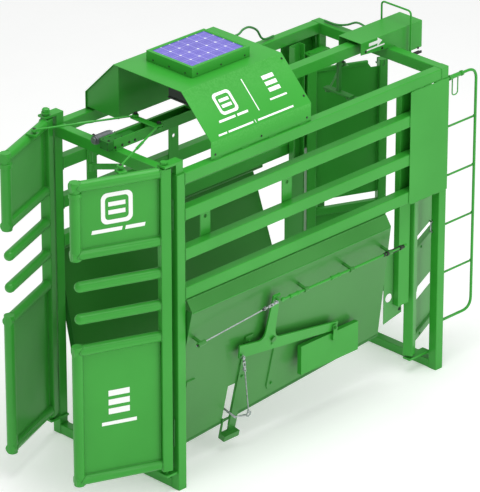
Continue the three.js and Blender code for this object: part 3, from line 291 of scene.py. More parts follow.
def bakedMesh(piece, name):
    # the evaluated shape as a plain mesh, with the modifiers gone
    graph = bpy.context.evaluated_depsgraph_get()
    mesh = bpy.data.meshes.new_from_object(piece.evaluated_get(graph), preserve_all_data_layers=True, depsgraph=graph)
    mesh.name = name
    piece.modifiers.clear()
    return mesh


def scratchObject(name, mesh):
    piece = bpy.data.objects.new(name, mesh)
    bpy.context.scene.collection.objects.link(piece)
    return piece


def finishSteel(node, material, settings):
    # the CAD shape again with broken edges and smooth round faces
    body = nodes[node]["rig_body"]
    mesh = nodes[node].data.copy()
    work = bmesh.new()
    work.from_mesh(mesh)
    bmesh.ops.remove_doubles(work, verts=work.verts, dist=2e-5)
    bmesh.ops.dissolve_limit(work, angle_limit=math.radians(0.6), verts=work.verts, edges=work.edges)
    for face in work.faces:
        face.smooth = True
    for edge in work.edges:
        edge.smooth = len(edge.link_faces) != 2 or edge.calc_face_angle(0) < math.radians(settings["softUnder"])
    work.to_mesh(mesh)
    work.free()
    if mesh.has_custom_normals:
        mesh.normals_split_custom_set([(0, 0, 0)] * len(mesh.loops))
    scratch = scratchObject("scratch", mesh)
    bevel = scratch.modifiers.new("edges", "BEVEL")
    bevel.width = settings["edge"] * 0.001
    bevel.segments = 2
    bevel.limit_method = "ANGLE"
    bevel.angle_limit = math.radians(settings["softUnder"])
    bevel.use_clamp_overlap = True
    weighted = scratch.modifiers.new("normals", "WEIGHTED_NORMAL")
    weighted.keep_sharp = True
    weighted.weight = 60
    finished = bakedMesh(scratch, node + "_finished")
    bpy.data.objects.remove(scratch)
    piece = newPiece(node + "_steel", finished, material, body)
    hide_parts(node)
    return piece


steelSettings = {"edge": 1.4, "softUnder": 50.0}
rebuilt = {"solar_panel", "head_actuator", "front_cable", "latch_cable", "hood_cable", "tail_cable", "rear_grille",
           "grille_loop", "release_hoop"}
sheetNodes = {"far_tail_panel", "hood_bay", "far_guide_plate"}
shadedNodes = {"tail_actuator", "tail_crosshead", "near_tail_tie_rod", "far_tail_tie_rod"}
paleLitNodes = {"near_guide_plate", "near_tail_panel"}
wallNodes = {"near_squeeze_side", "far_squeeze_side"}
for node in sorted(nodes):
    if node in rebuilt:
        continue
    # every coat but the tube coat is a darker or paler copy of one green: the sheet, wall and shaded coats carry
    # painted shade, and the pale coat on the near guide plate and near tail panel carries painted light
    coat = shadedSheetCoat if node in sheetNodes else shadedCoat if node in shadedNodes else tubeCoat
    coat = paleLitCoat if node in paleLitNodes else shadedWallCoat if node in wallNodes else coat
    finishSteel(node, coat, steelSettings)
print("steel finished")


# Geometry Nodes trees

def geo(tree, kind, inputs=None, settings=None):
    return addNode(tree, "GeometryNode" + kind, settings, inputs)


def vectorMath(tree, operation, inputs):
    return addNode(tree, "ShaderNodeVectorMath", {"operation": operation}, inputs).outputs[0]


def newTree(name, sockets):
    tree = bpy.data.node_groups.new(name, "GeometryNodeTree")
    tree.interface.new_socket("Geometry", in_out="OUTPUT", socket_type="NodeSocketGeometry")
    tree.interface.new_socket("Geometry", in_out="INPUT", socket_type="NodeSocketGeometry")
    for label, kind in sockets.items():
        tree.interface.new_socket(label, in_out="INPUT", socket_type="NodeSocket" + kind)
    return tree, addNode(tree, "NodeGroupInput").outputs


def endTree(tree, geometry, material, smooth):
    real = geo(tree, "RealizeInstances", {"Geometry": geometry})
    shaded = geo(tree, "SetShadeSmooth", {"Geometry": real.outputs[0], "Shade Smooth": smooth})
    painted = geo(tree, "SetMaterial", {"Geometry": shaded.outputs[0], "Material": material})
    addNode(tree, "NodeGroupOutput", inputs={"Geometry": painted.outputs[0]})


def beadTree():
    # a round bead along each line, with ripples: weld beads and split loom
    tree, given = newTree("beadAlongLine", {
        "Radius": "Float", "Pitch": "Float", "Ripple": "Float", "Sides": "Int", "Material": "Material"})
    line = geo(tree, "MeshToCurve", {"Mesh": given["Geometry"]})
    step = calc(tree, "DIVIDE", given["Pitch"], 3.0)
    dense = geo(tree, "ResampleCurve", {"Curve": line.outputs[0], "Length": step}, {"mode": "LENGTH"})
    length = geo(tree, "SplineParameter").outputs["Length"]
    phase = calc(tree, "MULTIPLY", calc(tree, "DIVIDE", length, given["Pitch"]), 2 * math.pi)
    wave = calc(tree, "MULTIPLY", calc(tree, "SINE", phase), given["Ripple"])
    size = calc(tree, "MULTIPLY", calc(tree, "ADD", wave, 1.0), given["Radius"])
    ring = geo(tree, "CurvePrimitiveCircle", {"Resolution": given["Sides"], "Radius": 1.0})
    swept = geo(tree, "CurveToMesh", {
        "Curve": dense.outputs[0], "Profile Curve": ring.outputs[0], "Scale": size, "Fill Caps": True})
    endTree(tree, swept.outputs[0], given["Material"], True)
    return tree


def fastenerTree():
    # a chamfered head on a washer at each point, turned to the point's aim and scaled by its girth
    tree, given = newTree("fastenersOnPoints", {
        "Sides": "Int", "Head Height": "Float", "Washer Radius": "Float", "Washer Height": "Float",
        "Material": "Material"})
    top = calc(tree, "ADD", given["Head Height"], given["Washer Height"])
    middle = calc(tree, "ADD", calc(tree, "MULTIPLY", given["Head Height"], 0.5), given["Washer Height"])
    washerMiddle = calc(tree, "MULTIPLY", given["Washer Height"], 0.5)
    head = geo(tree, "MeshCylinder", {"Vertices": given["Sides"], "Radius": 1.0, "Depth": given["Head Height"]})
    crown = geo(tree, "MeshCone", {
        "Vertices": given["Sides"], "Radius Top": 0.72, "Radius Bottom": 0.98, "Depth": 0.16})
    washer = geo(tree, "MeshCylinder", {
        "Vertices": 18, "Radius": given["Washer Radius"], "Depth": given["Washer Height"]})
    whole = geo(tree, "JoinGeometry")
    for part, height in ((washer, washerMiddle), (head, middle), (crown, top)):
        place = addNode(tree, "ShaderNodeCombineXYZ", inputs={"Z": height})
        lifted = geo(tree, "Transform", {"Geometry": part.outputs["Mesh"], "Translation": place.outputs[0]})
        tree.links.new(lifted.outputs[0], whole.inputs[0])
    aim = geo(tree, "InputNamedAttribute", {"Name": "aim"}, {"data_type": "FLOAT_VECTOR"})
    turn = addNode(tree, "FunctionNodeAlignRotationToVector", {"axis": "Z"}, {"Vector": aim.outputs[0]})
    girth = geo(tree, "InputNamedAttribute", {"Name": "girth"}, {"data_type": "FLOAT"})
    placed = geo(tree, "InstanceOnPoints", {
        "Points": given["Geometry"], "Instance": whole.outputs[0], "Rotation": turn.outputs[0],
        "Scale": girth.outputs[0]})
    endTree(tree, placed.outputs[0], given["Material"], False)
    return tree


def ropeTree():
    # wire rope: strands that wind round the line
    tree, given = newTree("wireRopeAlongLine", {
        "Strands": "Int", "Rope Radius": "Float", "Strand Radius": "Float", "Lay Length": "Float",
        "Material": "Material"})
    line = geo(tree, "MeshToCurve", {"Mesh": given["Geometry"]})
    step = calc(tree, "DIVIDE", given["Lay Length"], 14.0)
    dense = geo(tree, "ResampleCurve", {"Curve": line.outputs[0], "Length": step}, {"mode": "LENGTH"})
    many = geo(tree, "DuplicateElements", {
        "Geometry": dense.outputs[0], "Amount": given["Strands"]}, {"domain": "SPLINE"})
    length = geo(tree, "SplineParameter").outputs["Length"]
    wound = calc(tree, "DIVIDE", length, given["Lay Length"])
    share = calc(tree, "DIVIDE", many.outputs["Duplicate Index"], given["Strands"])
    angle = calc(tree, "MULTIPLY", calc(tree, "ADD", wound, share), 2 * math.pi)
    side = geo(tree, "InputNormal").outputs[0]
    ahead = geo(tree, "InputTangent").outputs[0]
    up = vectorMath(tree, "CROSS_PRODUCT", {0: ahead, 1: side})
    along = vectorMath(tree, "SCALE", {0: side, "Scale": calc(tree, "COSINE", angle)})
    across = vectorMath(tree, "SCALE", {0: up, "Scale": calc(tree, "SINE", angle)})
    both = vectorMath(tree, "ADD", {0: along, 1: across})
    offset = vectorMath(tree, "SCALE", {0: both, "Scale": given["Rope Radius"]})
    moved = geo(tree, "SetPosition", {"Geometry": many.outputs[0], "Offset": offset})
    ring = geo(tree, "CurvePrimitiveCircle", {"Resolution": 6, "Radius": 1.0})
    swept = geo(tree, "CurveToMesh", {
        "Curve": moved.outputs[0], "Profile Curve": ring.outputs[0], "Scale": given["Strand Radius"],
        "Fill Caps": True})
    endTree(tree, swept.outputs[0], given["Material"], True)
    return tree


trees = {"bead": beadTree(), "fastener": fastenerTree(), "rope": ropeTree()}


def grow(name, mesh, kind, values, material, body):
    # runs one tree on the mesh and keeps the plain result as a piece
    source = scratchObject(name + "_source", mesh)
    modifier = source.modifiers.new(name, "NODES")
    modifier.node_group = trees[kind]
    for item in trees[kind].interface.items_tree:
        if item.in_out == "INPUT" and item.name in values:
            modifier[item.identifier] = values[item.name]
        if item.in_out == "INPUT" and item.name == "Material":
            modifier[item.identifier] = material
    result = bakedMesh(source, name)
    bpy.data.objects.remove(source)
    return newPiece(name, result, None, body)


def lineMesh(lines):
    # open or closed lines of points; a line given as (points, True) is closed
    verts, edges = [], []
    for points, closed in lines:
        first = len(verts)
        verts += [tuple(p) for p in points]
        edges += [(first + i, first + i + 1) for i in range(len(points) - 1)]
        if closed:
            edges.append((len(verts) - 1, first))
    mesh = bpy.data.meshes.new("lines")
    mesh.from_pydata(verts, edges, [])
    return mesh


def pointMesh(places):
    # places are (point, aim, head radius in mm)
    mesh = bpy.data.meshes.new("points")
    mesh.from_pydata([tuple(p) for p, _, _ in places], [], [])
    mesh.attributes.new("aim", "FLOAT_VECTOR", "POINT")
    mesh.attributes.new("girth", "FLOAT", "POINT")
    for i, (_, direction, radius) in enumerate(places):
        mesh.attributes["aim"].data[i].vector = direction
        mesh.attributes["girth"].data[i].value = radius * 0.001
    return mesh


def rodMesh(points, radius, segments=16, closed=False):
    # a smooth round rod through the points, ends closed
    verts, faces = [], []
    count = len(points)
    ahead = [(points[(i + 1) % count] - points[i]).normalized() if closed or i < count - 1
             else (points[i] - points[i - 1]).normalized() for i in range(count)]
    normal = ahead[0].orthogonal().normalized()
    for i, point in enumerate(points):
        before = ahead[i - 1] if closed or i > 0 else ahead[0]
        direction = (before + ahead[i]).normalized()
        normal = (normal - direction * normal.dot(direction)).normalized()
        other = direction.cross(normal)
        for k in range(segments):
            angle = 2 * math.pi * k / segments
            verts.append(point + (normal * math.cos(angle) + other * math.sin(angle)) * radius * 0.001)
    rings = count if closed else count - 1
    for i in range(rings):
        for k in range(segments):
            a, b = i * segments + k, i * segments + (k + 1) % segments
            c, d = ((i + 1) % count) * segments + (k + 1) % segments, ((i + 1) % count) * segments + k
            faces.append((a, b, c, d))
    if not closed:
        faces += [tuple(reversed(range(segments))), tuple(range((count - 1) * segments, count * segments))]
    mesh = bpy.data.meshes.new("rod")
    mesh.from_pydata(verts, [], faces)
    mesh.polygons.foreach_set("use_smooth", [len(p.vertices) == 4 for p in mesh.polygons])
    mesh.update()
    return mesh


def sweptRod(name, points, radius, material, body, segments=16):
    mesh = rodMesh(points, radius, segments)
    mesh.name = name
    return newPiece(name, mesh, material, body)


def bentRoute(corners, bend, steps=10):
    # corner points with each corner rounded over the bend length
    route = [corners[0]]
    for i in range(1, len(corners) - 1):
        start = corners[i] + (corners[i - 1] - corners[i]).normalized() * bend * 0.001
        end = corners[i] + (corners[i + 1] - corners[i]).normalized() * bend * 0.001
        for k in range(steps + 1):
            t = k / steps
            route.append(start * (1 - t) ** 2 + corners[i] * 2 * t * (1 - t) + end * t ** 2)
    return route + [corners[-1]]


def circlePoints(centre, normal, radius, count=24):
    first = normal.orthogonal().normalized()
    second = normal.cross(first).normalized()
    turns = [2 * math.pi * i / count for i in range(count)]
    return [centre + (first * math.cos(t) + second * math.sin(t)) * radius * 0.001 for t in turns]


def joined(name, meshes, material, body, bevel=0.0):
    # several closed meshes as one piece, with broken edges
    work = bmesh.new()
    for mesh in meshes:
        work.from_mesh(mesh)
    merged = bpy.data.meshes.new(name)
    bmesh.ops.recalc_face_normals(work, faces=work.faces)
    work.to_mesh(merged)
    work.free()
    if bevel:
        scratch = scratchObject("scratch", merged)
        edges = scratch.modifiers.new("edges", "BEVEL")
        edges.width = bevel * 0.001
        edges.segments = 2
        edges.limit_method = "ANGLE"
        edges.angle_limit = math.radians(50)
        merged.polygons.foreach_set("use_smooth", [True] * len(merged.polygons))
        scratch.modifiers.new("normals", "WEIGHTED_NORMAL").weight = 60
        baked = bakedMesh(scratch, name)
        bpy.data.objects.remove(scratch)
        merged = baked
    return newPiece(name, merged, material, body)


def prism(outline, depth, origin, across, up):
    # an outline in mm in the plane of across and up, given a depth along their cross product
    normal = across.cross(up).normalized()
    count = len(outline)
    verts = [origin + (across * a + up * b) * 0.001 for a, b in outline]
    verts += [v + normal * depth * 0.001 for v in verts]
    faces = [tuple(reversed(range(count))), tuple(range(count, 2 * count))]
    faces += [(i, (i + 1) % count, count + (i + 1) % count, count + i) for i in range(count)]
    mesh = bpy.data.meshes.new("prism")
    mesh.from_pydata(verts, [], faces)
    mesh.update()
    return mesh


def slab(low, high):
    a, b = at(*low), at(*high)
    size = (b - a) * 1000
    return prism([(0, 0), (size.x, 0), (size.x, size.y), (0, size.y)], size.z, a, Vector((1, 0, 0)), Vector((0, 1, 0)))


# Places on the tilted pieces

headGate = {"hinge": (445.0, -78.5), "angle": 22.0, "towards": -1, "length": 520.0, "tube": 29.0}
tailGate = {"hinge": (390.0, 1859.5), "angle": 23.7, "towards": 1, "length": 433.0}
squeeze = {"ledge": (530.0, 1042.0), "slope": 12.75}


def onLeaf(gate, side, along, out, z):
    # along the leaf from its hinge, out from its outer face's plane
    angle = math.radians(gate["angle"])
    ahead = (-side * math.sin(angle), gate["towards"] * math.cos(angle))
    outward = (side * math.cos(angle), gate["towards"] * math.sin(angle))
    x = side * gate["hinge"][0] + ahead[0] * along + outward[0] * out
    return at(x, gate["hinge"][1] + ahead[1] * along + outward[1] * out, z)


def leafDirections(gate, side):
    origin = onLeaf(gate, side, 0, 0, 0)
    return [(onLeaf(gate, side, *step, 0) - origin).normalized() for step in ((1000, 0), (0, 1000))]


def onSlope(y, down, out, side=1):
    # down a squeeze side from its ledge and out from its face
    angle = math.radians(squeeze["slope"])
    x = squeeze["ledge"][0] - math.sin(angle) * down + math.cos(angle) * out
    return at(side * x, y, squeeze["ledge"][1] - math.cos(angle) * down - math.sin(angle) * out)


slopeOut = (onSlope(0, 0, 1000) - onSlope(0, 0, 0)).normalized()
alongX, alongY, alongZ = Vector((1, 0, 0)), Vector((0, 1, 0)), Vector((0, 0, 1))


# Round rods and the rear grille

grille = {"x": 469.5, "start": 2030.0, "back": 2275.0, "top": 1745.0, "bottom": 285.0, "spacing": 293.0,
          "bend": 70.0, "rod": 8.0, "rung": 6.0, "collar": 15.0}


def onGrille(y, z):
    return at(grille["x"], y, z)


def smoothSides(piece):
    # rods keep flat ends
    piece.data.polygons.foreach_set("use_smooth", [len(p.vertices) == 4 for p in piece.data.polygons])


start, back, top, bottom = (grille[key] for key in ("start", "back", "top", "bottom"))
corners = [onGrille(start, top), onGrille(back, top), onGrille(back, bottom), onGrille(start, bottom)]
grilleMeshes = [rodMesh(bentRoute(corners, grille["bend"], 14), grille["rod"])]
for step in range(1, 5):
    z = bottom + step * grille["spacing"]
    grilleMeshes.append(rodMesh([onGrille(start, z), onGrille(back, z)], grille["rung"], 14))
for y in (start + 22, start + 118):
    for a, b in ((0, 3), (3, 11), (11, 14)):
        grilleMeshes.append(rodMesh([onGrille(y + a, top), onGrille(y + b, top)], grille["collar"], 20))
grillePiece = joined("rear_grille_rods", grilleMeshes, tubeCoat, "frame")
smoothSides(grillePiece)
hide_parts("rear_grille")

loop = {"from": 2068.0, "to": 2146.0, "low": 112.0, "rod": 3.5, "bend": 20.0, "bore": 9.0, "wall": 11.6, "sleeve": 12.5}
loopStart, loopEnd = loop["from"], loop["to"]
profile = ((loopStart, loop["bore"]), (loopStart, loop["wall"]), (loopStart + 1, loop["sleeve"]),
           (loopEnd - 1, loop["sleeve"]), (loopEnd, loop["wall"]), (loopEnd, loop["bore"]))
sleeveMesh = bpy.data.meshes.new("sleeve")
sleeveWork = bmesh.new()
ringRows = [[sleeveWork.verts.new(p) for p in circlePoints(onGrille(y, top), alongY, r, 20)] for y, r in profile]
for row, after in zip(ringRows, ringRows[1:] + ringRows[:1]):
    for k in range(20):
        sleeveWork.faces.new((row[k], row[(k + 1) % 20], after[(k + 1) % 20], after[k]))
sleeveWork.to_mesh(sleeveMesh)
sleeveWork.free()
corners = [onGrille(loopStart + y, top - drop) for y, drop in (
    (14, 11), (14, loop["low"]), (58, loop["low"]), (58, 11))]
loopRod = rodMesh(bentRoute(corners, loop["bend"]), loop["rod"], 12)
loopPiece = joined("grille_swing_loop", [sleeveMesh, loopRod], tubeCoat, "grille_loop")
smoothSides(loopPiece)
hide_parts("grille_loop")

hoop = {"y": 2131.0, "half": 110.0, "pivot": 1746.0, "top": 2010.0, "bend": 26.0, "rod": 5.5}
half, low, high = hoop["half"], hoop["pivot"], hoop["top"]
corners = [at(x, hoop["y"], z) for x, z in (
    (-60, low), (half, low), (half, high), (-half, high), (-half, low), (-62, low))]
hoopPiece = sweptRod("release_hoop_rod", bentRoute(corners, hoop["bend"]), hoop["rod"], tubeCoat, "release_hoop")
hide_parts("release_hoop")
print("rods made")


# Solar panel

rim = {"width": 7.0, "height": 3.0, "sink": 1.1}
x0, y0, z0 = (v * 1000 for v in panelLow)
x1, y1, z1 = (v * 1000 for v in panelHigh)
glass = slab((x0, y0, z0), (x1, y1, z1 - 1.2))
panelPiece = joined("solar_glass", [glass], cellGlass, "frame", bevel=1.2)
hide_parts("solar_panel")
inner = (y0 + rim["width"], y1 - rim["width"])
strips = (((x0, x1), (y0, inner[0])), ((x0, x1), (inner[1], y1)),
          ((x0, x0 + rim["width"]), inner), ((x1 - rim["width"], x1), inner))
base = z1 - rim["sink"]
rimMeshes = [slab((xs[0], ys[0], base), (xs[1], ys[1], base + rim["height"])) for xs, ys in strips]
joined("solar_glass_rim", rimMeshes, tubeCoat, "frame", bevel=0.8)
print("solar panel made")


# Wire ropes with turnbuckles on the crank's side

def turnbuckle(name, start, end, body, settings):
    # an open body between two threaded ends, each with a jaw
    ahead = (end - start).normalized()
    across = slopeOut
    up = ahead.cross(across).normalized()
    reach = (end - start) * settings["threadShare"]
    inset = ahead * settings["jaw"]
    meshes = [rodMesh([start + (inset + up * off) * 0.001, end - (inset - up * off) * 0.001], settings["bar"], 10)
              for off in (-settings["half"], settings["half"])]
    for place in (start + inset * 0.001, end - inset * 0.001):
        meshes.append(rodMesh([place - ahead * 0.006, place + ahead * 0.006], settings["boss"], 12))
    for a, b in ((start, start + reach), (end, end - reach)):
        meshes.append(rodMesh([a, b], settings["thread"], 10))
    for place, direction in ((start, -ahead), (end, ahead)):
        for off in (-settings["jawHalf"], settings["jawHalf"]):
            cheek = place + across * (off * 0.001 - 0.0012)
            outline = [(-7, -7), (18, -7), (18, 7), (-7, 7)]
            meshes.append(prism(outline, 2.4, cheek, direction, direction.cross(across)))
        pinAt = place + direction * 0.011
        meshes.append(rodMesh([pinAt - across * 0.010, pinAt + across * 0.010], 3.2, 10))
    return joined(name, meshes, zincPlate, body, bevel=0.5)


rope = {"strands": 6, "radius": 2.35, "strand": 1.25, "lay": 34.0, "out": 62.0}
frontRope = {"start": (44.0, 180.0), "end": (648.0, 118.0)}


def onRope(line, share):
    (ya, ta), (yb, tb) = line["start"], line["end"]
    return onSlope(ya + (yb - ya) * share, ta + (tb - ta) * share, rope["out"])


ropeValues = {"Strands": rope["strands"], "Rope Radius": rope["radius"] * 0.001,
              "Strand Radius": rope["strand"] * 0.001, "Lay Length": rope["lay"] * 0.001}
frontLine = lineMesh([([onRope(frontRope, 0.0), onRope(frontRope, 0.86)], False)])
frontRopePiece = grow("front_wire_rope", frontLine, "rope", ropeValues, zincPlate, "front_cable")
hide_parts("front_cable")
buckle = {"half": 7.5, "bar": 2.6, "boss": 8.5, "thread": 3.4, "threadShare": 0.4, "jaw": 24.0, "jawHalf": 5.0}
turnbuckle("front_turnbuckle", onRope(frontRope, 0.835), onRope(frontRope, 0.955), "front_cable", buckle)
sweptRod("front_rope_core", [onRope(frontRope, 0.0), onRope(frontRope, 0.86)], 1.5, zincPlate, "front_cable", 8)
swages = [rodMesh([onRope(frontRope, a), onRope(frontRope, b)], 5.6, 14) for a, b in ((0.005, 0.045), (0.79, 0.835))]
joined("front_rope_swages", swages, darkZinc, "front_cable", bevel=1.0)

pushRod = {"x": 564.4, "z": 913.0, "couplings": (760.0, 1075.0), "turnbuckle": (1480.0, 1585.0)}


def onPushRod(y, up=0.0):
    return at(pushRod["x"], y, pushRod["z"] + up)


couplings = []
for y in pushRod["couplings"]:
    for start, end, radius in ((y - 22, y + 22, 9.5), (y - 34, y - 20, 12.5), (y + 20, y + 34, 12.5)):
        couplings.append(rodMesh([onPushRod(start), onPushRod(end)], radius, 6 if radius > 10 else 18))
joined("push_rod_couplings", couplings, tubeCoat, "push_rod", bevel=0.9)
start, end = pushRod["turnbuckle"]
buckleMeshes = [rodMesh([onPushRod(start, off), onPushRod(end, off)], 3.4, 10) for off in (-10, 10)]
buckleMeshes += [rodMesh([onPushRod(y - 8), onPushRod(y + 8)], 13.0, 16) for y in (start, end)]
buckleMeshes += [rodMesh([onPushRod(y - 7), onPushRod(y + 7)], 11.0, 6) for y in (start - 22, end + 22)]
joined("push_rod_turnbuckle", buckleMeshes, darkZinc, "push_rod", bevel=0.8)

latch = {"start": (445.0, 410.0), "end": (578.0, 842.0), "ring": 15.0, "ringRod": 4.0, "pin": (468.0, 818.0)}
latchLine = lineMesh([([onRope(latch, 0.2), onRope(latch, 0.97)], False)])
latchRopePiece = grow("latch_wire_rope", latchLine, "rope", ropeValues, zincPlate, "latch_cable")
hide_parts("latch_cable")
sweptRod("latch_rope_core", [onRope(latch, 0.2), onRope(latch, 0.97)], 1.5, zincPlate, "latch_cable", 8)
turnbuckle("latch_turnbuckle", onRope(latch, 0.02), onRope(latch, 0.2), "latch_cable", buckle)
ringCentre = onSlope(latch["end"][0], latch["end"][1], rope["out"])
ringMesh = rodMesh(circlePoints(ringCentre, slopeOut, latch["ring"], 28), latch["ringRod"], 12, True)
pinStart, pinEnd = onSlope(*latch["pin"], rope["out"] + 6), onSlope(*latch["pin"], -60)
armStart = onSlope(latch["end"][0] - 14, latch["end"][1], rope["out"])
armMesh = rodMesh([armStart, onSlope(*latch["pin"], rope["out"])], 5, 12)
pinMesh = rodMesh([pinStart, pinEnd], 6, 14)
swage = rodMesh([onRope(latch, 0.93), onRope(latch, 0.975)], 5.6, 14)
joined("latch_ring_and_pin", [ringMesh, armMesh, pinMesh, swage], zincPlate, "latch_cable")
print("wire ropes made")


# Harness cables in split loom

def beadValues(settings):
    return {"Radius": settings["radius"] * 0.001, "Pitch": settings["pitch"] * 0.001, "Ripple": settings["ripple"],
            "Sides": settings["sides"]}


def smoothRoute(corners, steps):
    # a smooth curve through the points, the ends included
    points = [corners[0] * 2 - corners[1]] + corners + [corners[-1] * 2 - corners[-2]]
    route = []
    for i in range(1, len(points) - 2):
        p0, p1, p2, p3 = points[i - 1 : i + 3]
        for k in range(steps):
            t = k / steps
            route.append(0.5 * ((2 * p1) + (p2 - p0) * t + (2 * p0 - 5 * p1 + 4 * p2 - p3) * t * t
                                + (3 * p1 - p0 - 3 * p2 + p3) * t ** 3))
    return route + [corners[-1]]


loom = {"radius": 6.0, "pitch": 5.0, "ripple": 0.07, "sides": 14}
looms = {
    "hood_cable": [(-240, 901, 2092), (-165, 950, 2118), (-110, 1005, 2135), (-190, 1130, 2107), (-262, 1250, 2065),
                   (-375, 1420, 1965), (-449.5, 1530, 1868), (-461.5, 1575, 1842), (-461.5, 1640, 1842)],
    "tail_cable": [(-421.5, 2001, 1840), (-330, 2001, 1842), (-250, 2001, 1864), (-190, 2016, 1890), (-135, 2026, 1880),
                   (-91.5, 2031, 1866)],
}
for node, corners in looms.items():
    route = smoothRoute([at(*c) for c in corners], 8)
    line = lineMesh([(route, False)])
    piece = grow(node + "_loom", line, "bead", beadValues(loom), loomPlastic, "frame")
    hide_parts(node)
print("looms made")


# Weld beads

def tubeEnd(y, x, z):
    return ([at(x[0], y, z[0]), at(x[1], y, z[0]), at(x[1], y, z[1]), at(x[0], y, z[1])], True)


def openLine(*points):
    return ([at(*p) for p in points], False)


post = {"half": 28.5, "inner": 433.0, "outer": 490.0, "front": 0.0, "rear": 2001.0, "top": 1830.0, "beam": 1765.0}
rails = {"lower": (1108.0, 1176.0), "middle": (1331.0, 1399.0), "upper": (1559.0, 1627.0), "top": (1765.0, 1829.0)}
welds = {"radius": 3.4, "pitch": 6.5, "ripple": 0.22, "sides": 7}
frameBeads = []
beads = {"frame": frameBeads}
for y, sill in ((post["front"], 57.0), (post["rear"], 50.0)):
    for side in (1, -1):
        x = side * post["inner"]
        a, b = y - post["half"], y + post["half"]
        frameBeads.append(openLine((x, a, 6), (x, a, sill), (x, b, sill), (x, b, 6)))
        frameBeads.append(openLine((x, a, 1826), (x, a, post["beam"]), (x, b, post["beam"]), (x, b, 1826)))
for side in (1, -1):
    for low, high in rails.values():
        for y in (29.0, 1972.0):
            frameBeads.append(tubeEnd(y, (side * post["inner"], side * post["outer"]), (low, high)))
    for y in (230.0, 836.0):
        for edge in (y - 36, y + 36):
            frameBeads.append(openLine((side * 432.4, edge, 1336), (side * 432.4, edge, 1394)))
    for low, high in rails.values():
        if high < 1700:
            frameBeads.append(openLine((side * 491, 1726.4, low + 6), (side * 491, 1726.4, high - 6)))
    for y in (1745, 1835, 1925):
        frameBeads.append(openLine((side * 491.5, y, 1765.6), (side * 491.5, y + 55, 1765.6)))
        frameBeads.append(openLine((side * 491.5, y, 1099.6), (side * 491.5, y + 55, 1099.6)))
    for y in (250, 450, 650, 880):
        frameBeads.append(openLine((side * 475.8, y, 1831.5), (side * 475.8, y + 55, 1831.5)))
    frameBeads.append(openLine((side * 32.6, -24, 1831.5), (side * 32.6, 26, 1831.5)))
    frameBeads.append(openLine((side * 85.6, 1976, 1831.5), (side * 85.6, 2026, 1831.5)))
    for z in (100.0, 112.0, 1888.0):
        frameBeads.append(openLine((side * 424, -29.2, z), (side * 476, -29.2, z)))
for step in range(0, 6):
    z = grille["bottom"] + step * grille["spacing"] if step < 5 else grille["top"]
    radius = grille["rod"] if step in (0, 5) else grille["rung"]
    frameBeads.append((circlePoints(at(grille["x"], 2031, z), alongY, radius + 0.5, 14), True))
    if 0 < step < 5:
        frameBeads.append((circlePoints(at(grille["x"], grille["back"] - 8, z), alongY, radius + 0.3, 14), True))

panels = {"upper": (1445.0, 1885.0), "lower": (141.0, 954.0)}
for name, side in sides.items():
    ahead, outward = leafDirections(headGate, side)
    lines = []
    r = headGate["tube"]
    (upperLow, upperHigh), (lowerLow, lowerHigh) = panels["upper"], panels["lower"]
    for z in (lowerLow + r, lowerHigh - r, 1106.0, 1290.0, upperLow + r, upperHigh - r):
        lines.append((circlePoints(onLeaf(headGate, side, r + 0.6, 0, z), ahead, r + 0.3), True))
    free = headGate["length"] - r
    for low, high in panels.values():
        for z in (low + r, high - r):
            seam = []
            for k in range(28):
                angle = 2 * math.pi * k / 28
                rise = r * math.sin(angle)
                seam.append(onLeaf(headGate, side, free - abs(rise), r * math.cos(angle), z + rise))
            lines.append((seam, True))
        for out in (2.2, -2.2):
            lines.append(([onLeaf(headGate, side, s, out, z) for s, z in (
                (r + 3, low + 2 * r), (free - r, low + 2 * r), (free - r, high - 2 * r), (r + 3, high - 2 * r))], True))
    beads[name + "_head_leaf"] = lines
    tailLines = []
    end = tailGate["length"]
    for out in (2.0, -2.0):
        for ends in (((30, 1586), (end - 92, 1586)), ((end - 26, 1550), (end - 26, 794)),
                     ((32, 699), (end - 26, 699)), ((32, 208), (end - 26, 208))):
            tailLines.append(([onLeaf(tailGate, side, s, out, z) for s, z in ends], False))
    beads[name + "_tail_leaf"] = tailLines

flange = {"width": 42.0, "sheet": 3.0, "lip": 15.0}
for name, side in sides.items():
    down = (onSlope(0, 1000, 0, side) - onSlope(0, 0, 0, side)).normalized()
    outward = (onSlope(0, 0, 1000, side) - onSlope(0, 0, 0, side)).normalized()
    front = prism([(6, -flange["width"]), (905, -flange["width"]), (905, -0.5), (6, -0.5)], flange["sheet"],
                  onSlope(37.5 if down.cross(outward).y < 0 else 34.5, 0, 0, side), down, outward)
    foot = [(38.0, 912.0), (1626.0, 756.0), (1627.0, 756.0 + flange["lip"]), (38.0, 912.0 + flange["lip"])]
    plane = prism(foot, -2.0 * side, onSlope(0, 0, 0.3, side), alongY, down)
    # the flanges take the darker coat: painted shade
    joined(name + "_side_flange", [front, plane], shadedCoat, name + "_side", bevel=0.8)

ribs = {"near": (120.0, 780.0), "far": (120.0, 780.0, 1180.0)}
for name, side in sides.items():
    lines = [([onSlope(44, 6, 0.6, side), onSlope(1540, 6, 0.6, side)], False)]
    for y in ribs[name]:
        outline = ((y - 30, 470), (y + 30, 470), (y + 30, 760), (y + 16, 784), (y - 16, 784), (y - 30, 760))
        lines.append(([onSlope(a, t, 0.8, side) for a, t in outline], True))
    beads[name + "_side"] = lines
beads["near_side"].append((circlePoints(onSlope(682, 392, 0.8), slopeOut, 28.5), True))
for edge in (498.0, 552.0):
    for start in (350, 520, 690, 860):
        beads["near_side"].append(([onSlope(edge, start, 0.8), onSlope(edge, start + 60, 0.8)], False))
for body, lines in beads.items():
    grow(body + "_welds", lineMesh(lines), "bead", beadValues(welds), weldCoat, body)
print("welds made")


# Bolts and screws

